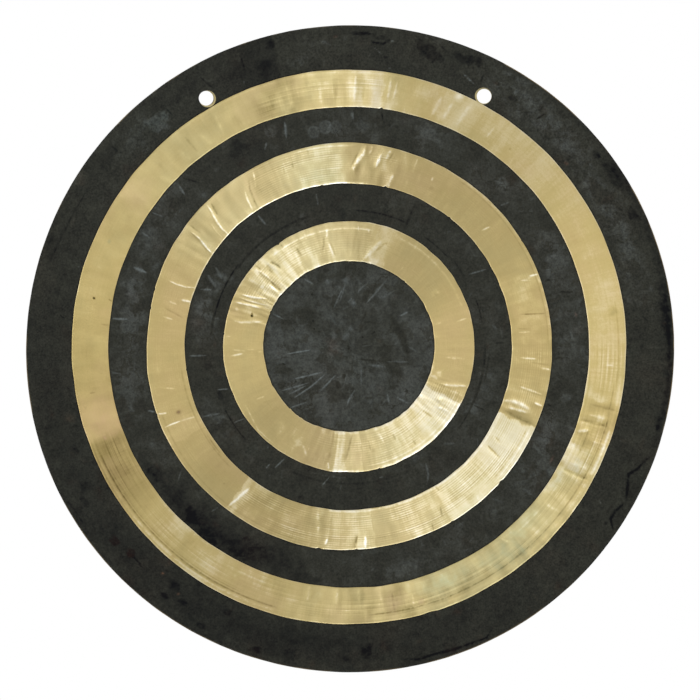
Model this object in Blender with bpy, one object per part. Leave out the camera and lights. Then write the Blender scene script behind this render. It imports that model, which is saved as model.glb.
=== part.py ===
"""A wind gong: one round plate of hammered bronze that hangs from two holes near its top.

The plate is turned from a radial section, drawn a little out of true as hammering leaves it,
and its two hanging holes are cut last. Lengths are in metres. The struck face looks along -Y,
X is to the right and Z is up as the gong hangs, and the origin is the middle of the plate.
Directions round the plate are degrees clockwise from its top, seen from the front.
"""

from math import atan2, ceil, cos, hypot, radians, sin, tau

import bmesh
import bpy
from mathutils import Vector

# The plate
DIAMETER = 0.4572
CENTRE_THICKNESS = 0.0022
RIM_THICKNESS = 0.0014
DISH_DEPTH = 0.0080
EDGE_BEVEL = 0.0004

# Widths from the rim inward. The centre disc is what they leave.
RIM_BAND = 0.0326
OUTER_RING = 0.0263
OUTER_BAND = 0.0260
MIDDLE_RING = 0.0283
INNER_BAND = 0.0266
INNER_RING = 0.0286

# The rings are lathed into both faces, on a centre that the hammered outline doesn't share.
LATHE_CUT = 0.0002
LATHE_SLOPE = 0.0004
LATHE_CENTRE_X = -0.0009
LATHE_CENTRE_Z = 0.0014

# The hanging holes: how far each centre lies inside the rim, and its direction
LEFT_HOLE_INSET = 0.0246
LEFT_HOLE_DIRECTION = -29.9
RIGHT_HOLE_INSET = 0.0268
RIGHT_HOLE_DIRECTION = 27.95
HOLE_DIAMETER = 0.0103

# The burr was cut off the front of each hole with a blunt cutter held a little to one side.
COUNTERSINK_DIAMETER = 0.0117
COUNTERSINK_TIP_DIAMETER = 0.0090
COUNTERSINK_DEPTH = 0.0009
LEFT_COUNTERSINK_OFFSET = 0.00115
LEFT_COUNTERSINK_DIRECTION = 115.0
RIGHT_COUNTERSINK_OFFSET = 0.00055
RIGHT_COUNTERSINK_DIRECTION = -75.0

# What hammering leaves: (lobes, height, direction of one crest). The outline's waves are radial.
# The face's waves run front to back and grow from nothing at the centre to this at the rim.
OUTLINE_WAVES = ((2, 0.00045, 60.0), (4, 0.00017, -33.0), (5, 0.00008, 31.0))
FACE_WAVES = ((2, 0.00080, 150.0), (3, 0.00045, 20.0), (5, 0.00025, 75.0))

# Places where the rim is knocked back: (direction, half its length in degrees, reach inward, depth)
RIM_KNOCKS = ((123.0, 15.0, 0.024, 0.0011), (171.0, 10.0, 0.016, 0.0006))

# How finely the faces are divided
SEGMENTS = 100
ROW_SPACING = 0.014
HOLE_SEGMENTS = 32
CUTTER_MARGIN = 0.004
SHARP_ANGLE = radians(25)


def smooth_step(value):
    """0 below 0, 1 above 1, and a smooth rise between."""
    value = min(max(value, 0.0), 1.0)
    return value * value * (3 - 2 * value)


def lathed_rings():
    """The inner and outer radius of each lathed ring, the outermost first."""
    radius = DIAMETER / 2
    rings = []
    for dark, lathed in (
        (RIM_BAND, OUTER_RING),
        (OUTER_BAND, MIDDLE_RING),
        (INNER_BAND, INNER_RING),
    ):
        outer = radius - dark
        radius = outer - lathed
        rings.append((radius, outer))
    return rings


def thickness_at(radius):
    """The plate is hammered thinner towards its rim."""
    share = (2 * radius / DIAMETER) ** 2
    return CENTRE_THICKNESS + (RIM_THICKNESS - CENTRE_THICKNESS) * share


def dish_at(radius):
    """How far the middle of the plate's thickness stands in front of its centre."""
    return DISH_DEPTH * (2 * radius / DIAMETER) ** 2


def lathe_shift(radius):
    """How far the lathe's centre carries this radius aside. The outline isn't moved."""
    outermost = lathed_rings()[0][1]
    share = 1 - smooth_step((radius - outermost) / (DIAMETER / 2 - outermost))
    return Vector((LATHE_CENTRE_X, 0, LATHE_CENTRE_Z)) * share


def section_rows():
    """(radius, depth of lathe cut) from the centre to the rim's bevel."""
    rows = [(0.0, 0.0)]

    def run_to(radius, cut):
        start = rows[-1][0]
        steps = max(1, ceil((radius - start) / ROW_SPACING))
        for step in range(1, steps + 1):
            rows.append((start + (radius - start) * step / steps, cut))

    for inner, outer in reversed(lathed_rings()):
        run_to(inner - LATHE_SLOPE / 2, 0.0)
        rows.append((inner + LATHE_SLOPE / 2, LATHE_CUT))
        run_to(outer - LATHE_SLOPE / 2, LATHE_CUT)
        rows.append((outer + LATHE_SLOPE / 2, 0.0))
    run_to(DIAMETER / 2 - EDGE_BEVEL, 0.0)
    return rows


def section_points():
    """The radial section as one line: out along the front, round the edge, and in along the back."""
    rows = section_rows()
    front = [
        Vector((radius, cut - dish_at(radius) - thickness_at(radius) / 2, 0))
        for radius, cut in rows
    ]
    back = [
        Vector((radius, thickness_at(radius) / 2 - cut - dish_at(radius), 0))
        for radius, cut in reversed(rows)
    ]
    rim = DIAMETER / 2
    edge = [
        Vector((rim, front[-1].y + EDGE_BEVEL, 0)),
        Vector((rim, back[0].y - EDGE_BEVEL, 0)),
    ]
    return front + edge + back


def turn(points):
    """A mesh turned from a section whose two ends lie on the Y axis."""
    bm = bmesh.new()
    verts = [bm.verts.new(point) for point in points]
    edges = [bm.edges.new(pair) for pair in zip(verts, verts[1:])]
    bmesh.ops.spin(
        bm,
        geom=verts + edges,
        cent=(0, 0, 0),
        axis=(0, 1, 0),
        angle=tau,
        steps=SEGMENTS,
        use_merge=True,
    )
    bmesh.ops.remove_doubles(bm, verts=bm.verts, dist=1e-6)
    bmesh.ops.recalc_face_normals(bm, faces=bm.faces)
    return bm


def waves_at(waves, direction):
    return sum(
        height * cos(lobes * (direction - radians(crest)))
        for lobes, height, crest in waves
    )


def knocks_at(radius, direction):
    """How far the rim is knocked back here."""
    depth = 0.0
    for middle, half_length, reach, most in RIM_KNOCKS:
        turned = (direction - radians(middle) + tau / 2) % tau - tau / 2
        along = smooth_step(1 - abs(turned) / radians(half_length))
        inward = smooth_step(1 - (DIAMETER / 2 - radius) / reach)
        depth += most * along * inward
    return depth


def hammered(point):
    """Where a point of the true turned plate lies on the hammered one."""
    radius = hypot(point.x, point.z)
    direction = atan2(point.x, point.z)
    share = (2 * radius / DIAMETER) ** 2
    wider = waves_at(OUTLINE_WAVES, direction) * share
    lift = waves_at(FACE_WAVES, direction) * share - knocks_at(radius, direction)
    drawn = Vector((wider * sin(direction), -lift, wider * cos(direction)))
    return point + drawn + lathe_shift(radius)


def hammer_and_centre(bm):
    """Moves every point to its hammered place, then the whole plate so that its depth is centred."""
    for vert in bm.verts:
        vert.co = hammered(vert.co)
    depths = [vert.co.y for vert in bm.verts]
    middle = (min(depths) + max(depths)) / 2
    bmesh.ops.translate(bm, verts=bm.verts, vec=(0, -middle, 0))
    return middle


def add_material(name, colour, metallic, roughness):
    material = bpy.data.materials.new(name)
    material.use_nodes = True
    shader = material.node_tree.nodes["Principled BSDF"]
    shader.inputs["Base Color"].default_value = (*colour, 1)
    shader.inputs["Metallic"].default_value = metallic
    shader.inputs["Roughness"].default_value = roughness
    material.diffuse_color = (*colour, 1)
    return material


def add_object(name, bm):
    mesh = bpy.data.meshes.new(name)
    bm.to_mesh(mesh)
    bm.free()
    made = bpy.data.objects.new(name, mesh)
    bpy.context.scene.collection.objects.link(made)
    return made


def mark_lathed_faces(bm):
    """The second material goes on the faces inside the lathed rings, measured on the true plate."""
    for face in bm.faces:
        middle = face.calc_center_median()
        radius = hypot(middle.x, middle.z)
        if any(inner < radius < outer for inner, outer in lathed_rings()):
            face.material_index = 1


def make_plate():
    """The gong before its holes are cut, and how far it was moved to centre its depth."""
    bm = turn(section_points())
    mark_lathed_faces(bm)
    middle = hammer_and_centre(bm)
    plate = add_object("gong_plate", bm)
    plate.data.materials.append(add_material("fire_scale", (0.035, 0.036, 0.031), 0.3, 0.5))
    plate.data.materials.append(add_material("lathed_bronze", (0.56, 0.43, 0.2), 1, 0.35))
    plate.data.shade_smooth()
    plate.data.set_sharp_from_angle(angle=SHARP_ANGLE)
    return plate, middle


def face_frame(radius, direction, middle):
    """A place given from the outline, in the middle of the plate's thickness, and its front normal."""
    way = Vector((sin(direction), 0, cos(direction)))
    turned = way * radius - lathe_shift(radius)
    depth = hammered(turned - Vector((0, dish_at(turned.length), 0))).y - middle
    slope = 8 * DISH_DEPTH * radius / DIAMETER**2
    front = Vector((0, -1, 0)) - way * slope
    return way * radius + Vector((0, depth, 0)), front.normalized()


def add_cutter(name, plate, place, front, narrow, wide, length):
    """A cone whose narrow end points into the plate, as a Boolean cutter of it."""
    bm = bmesh.new()
    bmesh.ops.create_cone(
        bm,
        cap_ends=True,
        segments=HOLE_SEGMENTS,
        radius1=narrow,
        radius2=wide,
        depth=length,
    )
    cutter = add_object(name, bm)
    cutter.location = place
    cutter.rotation_mode = "QUATERNION"
    cutter.rotation_quaternion = front.to_track_quat("Z", "X")
    cutter.hide_render = True
    cutter.display_type = "WIRE"
    cut = plate.modifiers.new(name, "BOOLEAN")
    cut.operation = "DIFFERENCE"
    cut.solver = "EXACT"
    cut.object = cutter


def cut_hole(side, plate, middle, inset, direction, offset, offset_direction):
    """A round hole square to the plate, and the off-centre countersink in its front."""
    radius = DIAMETER / 2 - inset
    place, front = face_frame(radius, radians(direction), middle)
    thickness = thickness_at(radius)
    bore_length = thickness + 2 * CUTTER_MARGIN
    bore = HOLE_DIAMETER / 2
    add_cutter(f"{side}_hole_cutter", plate, place, front, bore, bore, bore_length)

    turned = radians(offset_direction)
    aside = Vector((sin(turned), 0, cos(turned)))
    aside = (aside - front * aside.dot(front)).normalized() * offset
    mouth = COUNTERSINK_DIAMETER / 2
    tip = COUNTERSINK_TIP_DIAMETER / 2
    slope = (mouth - tip) / COUNTERSINK_DEPTH
    length = COUNTERSINK_DEPTH + CUTTER_MARGIN
    wide = mouth + slope * CUTTER_MARGIN
    centre = place + aside + front * (thickness / 2 + CUTTER_MARGIN - length / 2)
    add_cutter(f"{side}_countersink_cutter", plate, centre, front, tip, wide, length)


def build():
    for made in list(bpy.data.objects):
        bpy.data.objects.remove(made, do_unlink=True)
    plate, middle = make_plate()
    cut_hole(
        "left",
        plate,
        middle,
        LEFT_HOLE_INSET,
        LEFT_HOLE_DIRECTION,
        LEFT_COUNTERSINK_OFFSET,
        LEFT_COUNTERSINK_DIRECTION,
    )
    cut_hole(
        "right",
        plate,
        middle,
        RIGHT_HOLE_INSET,
        RIGHT_HOLE_DIRECTION,
        RIGHT_COUNTERSINK_OFFSET,
        RIGHT_COUNTERSINK_DIRECTION,
    )


build()
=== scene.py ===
"""The looks of the wind gong: the blackened, hammered and lathed surfaces of its one bronze plate.

The plate is drawn as seven zones: the centre disc, three lathed rings and the dark bands round them.
The struck face looks along -Y. A place on it is a direction in degrees clockwise from the top and
a reach in millimetres from the lathe's centre. Other lengths are in metres unless they say otherwise.
Tone runs from -1, dark, to 1, bright, and goes on to black below -1. Tint runs from -1, olive or
green, to 1, pink or rust. On the lathed rings much of the tone is painted highlight and painted
shade.
"""

from collections import namedtuple
from math import ceil, cos, pi, radians, sin, sqrt, tau

import bmesh
import bpy
import numpy as np
from mathutils import Matrix, Vector


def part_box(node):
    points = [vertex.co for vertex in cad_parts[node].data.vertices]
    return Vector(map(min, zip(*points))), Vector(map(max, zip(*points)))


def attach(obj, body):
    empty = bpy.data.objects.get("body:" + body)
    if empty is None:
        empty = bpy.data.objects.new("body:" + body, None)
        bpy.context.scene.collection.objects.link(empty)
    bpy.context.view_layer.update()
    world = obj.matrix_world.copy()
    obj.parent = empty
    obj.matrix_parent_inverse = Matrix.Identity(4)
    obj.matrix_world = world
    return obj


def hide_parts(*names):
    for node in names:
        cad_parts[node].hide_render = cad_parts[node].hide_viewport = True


MM = 0.001

# The plate's driving sizes
DIAMETER = 0.4572
CENTRE_THICKNESS = 0.0022
RIM_THICKNESS = 0.0014
DISH_DEPTH = 0.0080
EDGE_BEVEL = 0.0004
RIM_BAND = 0.0326
OUTER_RING = 0.0263
OUTER_BAND = 0.0260
MIDDLE_RING = 0.0283
INNER_BAND = 0.0266
INNER_RING = 0.0286
LATHE_CUT = 0.0002
LATHE_SLOPE = 0.0004
LATHE_CENTRE_X = -0.0009
LATHE_CENTRE_Z = 0.0014

# The hanging holes: inset from the rim and direction, then the countersink's offset and its direction
Hole = namedtuple("Hole", "inset direction offset offset_direction zones")
HOLES = (
    Hole(0.0246, -29.9, 0.00115, 115.0, ("rim_band",)),
    Hole(0.0268, 27.95, 0.00055, -75.0, ("rim_band", "outer_ring")),
)
HOLE_DIAMETER = 0.0103
COUNTERSINK_DIAMETER = 0.0117
COUNTERSINK_TIP_DIAMETER = 0.0090
COUNTERSINK_DEPTH = 0.0009
CUTTER_MARGIN = 0.004
CUTTER_SEGMENTS = 96

# What hammering leaves: (lobes, height, direction of one crest), radially and front to back
OUTLINE_WAVES = ((2, 0.00045, 60.0), (4, 0.00017, -33.0), (5, 0.00008, 31.0))
FACE_WAVES = ((2, 0.00080, 150.0), (3, 0.00045, 20.0), (5, 0.00025, 75.0))
# Where the rim is knocked back: (direction, half length in degrees, reach inward, depth)
RIM_KNOCKS = ((123.0, 15.0, 0.024, 0.0011), (171.0, 10.0, 0.016, 0.0006))

# How each lathed edge wanders from its circle, from the innermost outward:
# (lobes, height in mm, direction of one crest)
EDGE_WAVES = (
    ((0, 0.30, 0), (1, 0.20, 27), (5, 0.18, 69), (2, 0.17, 69)),
    ((0, -0.06, 0), (3, 0.12, 29), (1, 0.11, 75), (4, 0.11, 10)),
    ((0, 0.32, 0), (1, 0.41, 280), (4, 0.17, 37), (6, 0.12, 22)),
    ((0, -0.15, 0), (3, 0.33, 105), (6, 0.25, 5), (2, 0.21, 12), (7, 0.20, 44)),
    ((0, 0.28, 0), (1, 0.26, 180), (4, 0.17, 48), (3, 0.12, 35)),
    ((0, -0.24, 0), (1, 0.45, 153), (5, 0.20, 65), (3, 0.13, 119)),
)
# Nicks in those edges: (edge, direction, half width in degrees, mm outward)
EDGE_NICKS = (
    (0, 40, 1.2, 0.5), (0, 215, 0.8, 0.5), (0, 223, 1.0, -0.4), (0, 294, 0.8, 0.6),
    (1, 166, 0.6, -0.6), (1, 276, 0.6, -0.5), (1, 325.5, 0.8, -0.6), (2, 12.9, 0.7, 0.8),
    (2, 38, 0.7, 0.6), (2, 262, 0.6, 0.4), (2, 350.5, 0.7, 0.6), (3, 58.5, 0.4, -0.4),
    (3, 131.6, 1.0, -0.9), (3, 149.5, 0.6, -0.5), (3, 178, 0.5, -0.4), (3, 188.5, 0.9, -0.7),
    (3, 250.5, 0.4, -0.4), (3, 281.1, 0.5, -0.5), (3, 286.5, 0.5, -0.5), (4, 7.8, 0.5, 0.9),
    (5, 163, 2.0, -0.5),
)
RAGGED_LOBES = range(9, 60)
RAGGED_HEIGHT = 0.17 * MM
RAGGED_SHARES = (0.2, 1.0)
RAGGED_SEED = 100
EDGE_REACH = 3.0 * MM

# The wear of the rim takes this much off the outline, at most, always inward.
RIM_WEAR = 0.12 * MM

# Gradient noise has a lattice of this many random directions a side. Half a cell is off its lines.
LATTICE = 256
MID_CELL = 0.5
# Noise over the plate, in layers: (cell in mm, cells that it is moved by, seed, weight)
WARP_LAYERS = (
    ((7, 60, 51, 1.1), (2.2, 150, 61, 0.6)),
    ((7, 60, 52, 1.1), (2.2, 150, 62, 0.6)),
)
MOTTLE_LAYERS = ((3.5, 80, 53, 1.0), (1.4, 180, 54, 0.7))
DENT_LAYERS = ((30, 40, 11, 0.14), (11, 90, 12, 0.035))
# Noise drawn round the plate: (cells round it, mm outward to a cell, seed, weight)
DRAWN_DENTS = (80, 24, 13, 0.09)
CREASE_DENTS = (170, 17, 15, 0.07)
# These two are painted highlight and painted shade, in bands along a ring's creases.
WIDE_CREASE_SHADING = (60, 20, 17, 0.30)
NARROW_CREASE_SHADING = (150, 12, 18, 0.30)
GROOVE_PATCHES = (30, 9, 14, 1.5)
GROOVE_BREAKS = (400, 2, 16, 0.9)
BARE_PATCHES = (160, 4, 41, 1.0)
# The same along one line round the plate, whose place outward is in cells
WORN_RIM = (90, 1, 31, 1.0)
CHIPPED_RIM = (250, 1, 32, 0.5)
UNEVEN_EDGE = (150, 1, 61, 0.8)
# How far the irregular warp turns dents and creases, in radians to the unit
DENT_WARP = 0.004
CREASE_WARP = 0.012

# Strokes: (tone, half width in mm, place, place, ...), each place a (direction, reach)
# On a lathed ring a stroke is painted highlight or painted shade over a crease in relief; on the scale a
# scratch.
STROKES = {
    "centre_disc": (
        (0.4, 0.8, (133, 19), (119, 29)), (0.3, 0.5, (112, 28), (104, 44)),
        (0.4, 0.5, (149, 17), (162.5, 29)), (0.55, 0.5, (293.5, 59), (293, 50)),
        (0.5, 0.5, (326.6, 57.5), (330.4, 51)), (0.6, 0.5, (353.5, 41), (338, 29)),
        (0.4, 0.6, (29.5, 54), (22, 33)), (0.4, 0.45, (357, 45), (349, 33)),
        (0.35, 0.6, (15, 46), (358, 31)), (0.95, 0.5, (263.3, 44), (265.4, 27)),
        (0.9, 0.5, (240, 46), (226, 26)), (0.7, 0.5, (236.9, 57), (233, 47), (228, 38)),
        (0.95, 0.5, (227, 53), (223.5, 39), (221, 26)), (0.7, 0.4, (231.5, 54), (227.5, 40)),
        (0.7, 0.55, (213, 38), (205, 22)), (0.8, 0.6, (181.5, 41), (180.3, 38), (172.3, 31)),
        (0.5, 0.5, (224, 60), (217, 49)), (0.55, 0.6, (58.8, 42), (59.4, 49)),
        (0.5, 0.6, (140.9, 43), (144.4, 49)), (0.5, 0.6, (137.2, 48), (133.6, 58)),
        (-0.25, 0.4, (150, 10), (112, 28)), (-0.3, 2, (53, 37), (80.1, 39), (99.8, 43)),
    ),
    "inner_ring": (
        (0.35, 1.5, (17.5, 79), (13, 69), (9, 62)), (-0.25, 0.8, (19.5, 78), (15.5, 70)),
        (0.35, 0.5, (4.2, 88), (4.8, 82)), (0.4, 0.6, (9.2, 84), (10.1, 82)),
        (0.25, 0.8, (96, 83), (96.2, 69)), (0.55, 0.9, (108.5, 88), (110.5, 78), (112, 71)),
        (0.3, 0.6, (76.9, 78), (76.3, 86)), (0.5, 0.7, (189.3, 88), (190.2, 83)),
        (0.35, 0.9, (204.9, 77), (201, 83)), (0.3, 0.6, (240.4, 75), (239.5, 69)),
        (0.3, 0.6, (241.2, 84), (227.4, 87), (215.8, 87)), (0.45, 0.7, (265.5, 84), (266.3, 75)),
        (0.25, 0.6, (268.5, 82), (267.6, 73)),
        (0.4, 0.8, (282.8, 84), (282.7, 78), (285.4, 66), (286.6, 63)),
        (0.85, 0.6, (291.5, 86), (291.7, 84), (292.6, 77), (293.5, 68)),
        (0.5, 0.5, (294.3, 85), (294.6, 78), (297, 64)),
        (0.85, 0.55, (296, 84), (297.3, 76), (300.5, 67)), (-0.45, 0.6, (293.5, 82), (295, 70)),
        (0.5, 0.7, (308, 72), (307.6, 63)), (-0.8, 0.9, (309.7, 72), (309.4, 68), (309.5, 62)),
        (0.6, 0.8, (310.4, 83), (310.8, 74)), (-0.5, 0.6, (311, 87), (311.3, 83)),
        (-0.75, 0.9, (314.7, 82), (314.2, 78), (314, 75)),
        (-0.75, 0.9, (316.9, 82), (318.3, 79), (318.9, 76), (318.8, 73)),
        (-0.5, 0.6, (326.3, 87), (326.5, 84)), (-0.6, 0.8, (332.2, 79), (332.4, 73)),
        (-0.5, 0.8, (347.4, 80), (344.8, 70)), (0.4, 0.7, (349.3, 84), (348.6, 79)),
        (-0.45, 0.6, (350.1, 75), (351.7, 65)), (0.35, 0.7, (348.9, 75), (350.3, 66)),
        (-0.4, 0.8, (153.2, 69), (153.6, 74)), (-0.4, 0.9, (145.6, 80), (145.5, 84)),
        (-0.4, 0.8, (168.3, 67), (168.2, 75)), (-0.4, 0.8, (177.7, 62), (181.7, 81)),
        (0.35, 0.7, (123, 84), (124, 76)), (-0.3, 0.8, (130, 78), (131, 68)),
        (0.3, 0.8, (160, 72), (161, 64)),
    ),
    "inner_band": (
        (0.5, 0.6, (58.9, 99), (60.6, 112)), (0.4, 0.7, (151, 113), (148, 106), (146.5, 98)),
        (0.45, 0.5, (191, 100), (188.5, 93)), (0.6, 0.5, (211.5, 101), (209.7, 90)),
        (0.45, 0.5, (214.3, 104), (214, 100)), (0.4, 0.5, (236.5, 98), (235.6, 90)),
        (0.45, 0.6, (244.4, 114), (242.7, 103)), (0.75, 0.5, (251.9, 98), (250.7, 90)),
        (0.6, 0.6, (266.7, 113), (266.5, 100)), (0.5, 0.6, (291, 113), (292.6, 105)),
        (0.45, 0.7, (325.3, 113), (325.8, 104)), (0.35, 0.7, (348, 111), (347.7, 102)),
        (0.4, 0.5, (165, 95), (167, 95)), (-0.4, 0.5, (88.5, 110), (88.6, 103)),
        (-0.35, 0.5, (115, 106), (115.1, 97)), (0.3, 1.2, (297, 112), (294, 103)),
        (0.25, 1, (301, 110), (298, 102)), (-0.3, 1.2, (110.5, 111), (113.5, 105)),
        (-0.3, 1, (25, 112), (25.2, 92)),
    ),
    "middle_ring": (
        (0.7, 1.5, (4.7, 142), (4.3, 137), (2.8, 132), (1.5, 126), (1.6, 123)),
        (-0.4, 0.8, (2.9, 138), (2.1, 134), (0.4, 126)), (0.4, 0.9, (6.8, 143), (6.3, 139), (5.9, 136)),
        (0.85, 1, (9.7, 138), (9.2, 134), (8.4, 128)), (0.35, 1.1, (12.1, 142), (11.2, 135)),
        (-0.3, 0.6, (13, 141), (12, 134)), (0.45, 1, (14.5, 126), (14.2, 121), (13.9, 116)),
        (0.2, 0.7, (20.1, 142), (20.1, 131)), (0.45, 0.6, (26.3, 134), (26.5, 131)),
        (0.5, 0.6, (48.7, 124), (49.6, 131)), (0.75, 0.6, (68.6, 137), (69, 143)),
        (0.25, 0.5, (68.9, 130), (69.9, 137)), (-0.65, 0.5, (79.3, 123), (80.4, 141)),
        (-0.25, 0.5, (83.9, 120), (84.5, 130)), (0.25, 0.5, (85.2, 120), (85.3, 129)),
        (0.55, 0.5, (93.7, 121), (93.7, 133)), (-0.25, 0.6, (94.9, 128), (95.3, 143)),
        (0.5, 0.7, (96.3, 136), (96.5, 143)), (0.45, 0.7, (103.1, 124), (103.5, 132), (103.9, 141)),
        (0.7, 0.7, (106.8, 137), (107.1, 143)),
        (0.7, 1.2, (109.1, 116), (108.3, 122), (108.4, 128), (109.1, 135)),
        (0.6, 0.9, (110.8, 121), (110.3, 134)), (-0.5, 1.7, (112.5, 120), (113, 142)),
        (-0.35, 0.6, (121.5, 121), (122.4, 127)), (-0.5, 0.8, (125.4, 120), (126.3, 132)),
        (-0.6, 0.6, (148.3, 116), (147.8, 120)), (-0.55, 0.6, (150.2, 130), (151.2, 137)),
        (-0.55, 0.6, (154.8, 137), (155.2, 143)), (-0.65, 0.8, (177.4, 133), (178.3, 143)),
        (0.75, 0.8, (175, 134), (175.3, 143)), (0.7, 0.7, (186.9, 141), (186.2, 136)),
        (0.3, 1.1, (190.5, 119), (189.4, 133)), (0.9, 1, (217.1, 141), (216.3, 133), (215.2, 122)),
        (0.75, 0.5, (246.3, 142), (246.4, 137), (246.2, 130)), (0.3, 0.5, (246.2, 130), (245.5, 119)),
        (0.85, 0.6, (250.6, 143), (250, 137)), (0.25, 0.6, (257.7, 136), (256.4, 126)),
        (0.3, 0.6, (279.2, 133), (278.8, 126)), (-0.3, 0.6, (281.9, 133), (279.8, 119)),
        (0.3, 0.7, (284.3, 131), (283.7, 125)), (0.8, 0.7, (285.6, 123), (285.9, 116)),
        (0.65, 0.45, (290.2, 136), (289.9, 129), (290.1, 123), (291, 116)),
        (0.75, 0.6, (306.1, 138), (305.9, 130), (304.8, 122), (304.2, 116)),
        (-0.4, 0.8, (307.4, 142), (307.5, 132)),
        (0.75, 0.7, (315, 142), (314.6, 136), (313.4, 128), (312.9, 122), (313, 116)),
        (0.3, 0.5, (311.8, 131), (311, 124), (310.8, 118)), (-0.4, 0.8, (316.2, 141), (315, 131)),
        (0.4, 0.8, (331.4, 142), (330.7, 136), (329.6, 130)),
        (-0.65, 0.8, (328.9, 137), (327.9, 132), (327.1, 124), (326.6, 116)),
        (0.4, 0.7, (326.6, 134), (325.6, 128), (324.8, 118)), (-0.25, 0.7, (339.9, 135), (339.5, 130)),
        (-0.5, 0.6, (342.7, 136), (342.8, 132)), (-0.4, 0.6, (348.1, 142), (348.1, 140)),
        (-0.5, 0.5, (238.6, 118), (234, 118), (230.4, 118)),
    ),
    "outer_band": (
        (0.4, 0.8, (0.8, 167), (1.1, 160)), (0.35, 0.7, (47, 146), (47.9, 152)),
        (-0.5, 0.5, (75.4, 154), (76.3, 163)), (0.4, 0.5, (233.7, 147), (231.4, 155)),
        (0.7, 0.6, (252.4, 149), (251.5, 145)), (0.4, 0.6, (263.7, 168), (263.2, 161)),
        (0.5, 0.7, (276.8, 168), (277.1, 157)), (0.65, 1, (290.3, 162), (290.1, 152)),
        (0.35, 0.6, (299, 167), (298.6, 160)), (0.45, 0.5, (304.3, 168), (305, 160)),
        (0.45, 0.7, (313.6, 166), (312.8, 158)), (-0.5, 0.6, (315.5, 167), (317.8, 156)),
        (0.45, 0.7, (338.2, 156), (336.7, 151)), (0.55, 0.9, (344.1, 166), (343.4, 154)),
        (-0.5, 0.7, (71.6, 150), (71.4, 146)), (-0.4, 0.7, (106.4, 149), (106.1, 146)),
        (-0.45, 0.6, (7.9, 168), (8.5, 162)), (0.4, 0.6, (219.8, 152), (219.2, 146)),
    ),
    "outer_ring": (
        (0.25, 0.9, (9, 191), (8.8, 176)), (0.3, 0.6, (10.4, 191), (10.2, 178)),
        (0.2, 1.3, (20.4, 189), (19.6, 172)), (0.2, 1.4, (23, 187), (22.4, 174)),
        (0.22, 1.6, (26.8, 192), (25.8, 174)), (0.2, 0.8, (33.5, 186), (33.3, 177)),
        (0.35, 0.5, (94.1, 182), (94, 187)), (-0.5, 1.2, (107.5, 171), (107.1, 191)),
        (0.3, 0.9, (105.6, 190), (105.8, 176)), (0.5, 1.1, (110.3, 172), (109.1, 180)),
        (0.3, 1.1, (111, 193), (111.3, 184)), (-0.45, 1.2, (119.7, 174), (119.1, 192)),
        (0.3, 1.2, (117.2, 190), (117.6, 176)), (0.2, 1.4, (128, 190), (128.6, 178)),
        (-0.3, 1, (103.5, 194), (103.4, 176)), (0.22, 1.6, (182.8, 183), (182.8, 171)),
        (0.22, 1.6, (177.6, 181), (177.6, 171)), (0.2, 1.6, (172.6, 181), (172.6, 171)),
        (0.22, 1.6, (189.3, 182), (189.3, 171)), (-0.12, 1.8, (347.8, 193), (348, 172)),
        (-0.12, 1.6, (351, 191), (351.1, 174)), (-0.14, 1.4, (345.1, 187), (345.3, 172)),
        (0.2, 1.6, (346.5, 190), (346.6, 172)), (0.15, 2, (353.5, 190), (353.5, 172)),
        (-0.15, 1.6, (357, 190), (357.2, 176)), (0.3, 1.2, (1.5, 192), (1.2, 174)),
        (-0.15, 0.7, (3.4, 190), (3.3, 173)), (-0.4, 0.5, (281.2, 173), (280.8, 170)),
        (-0.3, 0.5, (275.2, 176), (275.1, 170)), (-0.35, 0.5, (259.8, 186), (259.8, 182)),
        (-0.3, 0.6, (256.9, 192), (256.9, 190)), (0.2, 1, (330, 190), (329.6, 175)),
        (-0.2, 0.9, (322, 188), (322.2, 174)), (0.15, 1.8, (325, 183), (326, 172)),
        (0.12, 1.6, (319, 184), (320, 172)), (0.12, 1.8, (312, 180), (313, 171)),
        (0.25, 0.8, (140.5, 179), (141.8, 172)), (-0.2, 0.8, (139, 181), (141, 174)),
        (0.25, 0.8, (166, 190), (165.6, 180)), (-0.2, 0.9, (170.2, 190), (170, 176)),
    ),
    "rim_band": (
        (-0.7, 0.9, (4, 216), (5.2, 215), (6.4, 215), (7.7, 218)), (0.4, 0.5, (4.3, 213), (7.2, 206)),
        (0.45, 0.5, (7.9, 199), (8.8, 198)), (-0.5, 0.6, (16.6, 223), (18.3, 219)),
        (0.45, 0.5, (22.6, 209), (25.9, 205)), (-0.6, 0.5, (26.3, 215), (26.5, 207)),
        (-0.5, 0.6, (39.5, 208), (40.2, 216)), (-0.45, 0.6, (39, 214), (38.8, 219)),
        (-0.45, 0.6, (68, 203), (69.3, 207)), (-0.7, 0.6, (91.1, 224), (92.2, 227)),
        (-0.35, 0.6, (83.9, 208), (85.2, 212), (87.3, 208)), (0.35, 0.5, (109.1, 204), (109.1, 202)),
        (-0.95, 0.9, (109.8, 227), (111, 224), (113, 221), (114.5, 217), (117.3, 221), (119.3, 224)),
        (-0.9, 0.9, (119.3, 224), (121.6, 221), (123.3, 221), (124.8, 227)),
        (-0.8, 0.8, (152.9, 223), (154.7, 227), (160.7, 226), (164, 225), (167.5, 226), (170.6, 223)),
        (0.4, 0.5, (168.8, 202), (170.2, 202)), (0.35, 0.5, (155.1, 203), (155.7, 203)),
        (0.35, 0.5, (159.6, 201), (160.2, 201)), (0.35, 0.5, (181.9, 201), (182.5, 201)),
        (0.35, 0.5, (193, 202), (193.6, 202)), (0.35, 0.4, (209.5, 202), (211, 202)),
        (-0.55, 0.6, (227, 213), (225, 212), (222.6, 214)), (-0.45, 0.6, (241.3, 226), (236.3, 225)),
        (-0.4, 0.6, (276.2, 205), (275.7, 202)),
        (-0.35, 0.7, (302.6, 215), (295.7, 216), (288.5, 218), (284.6, 220)),
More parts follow.
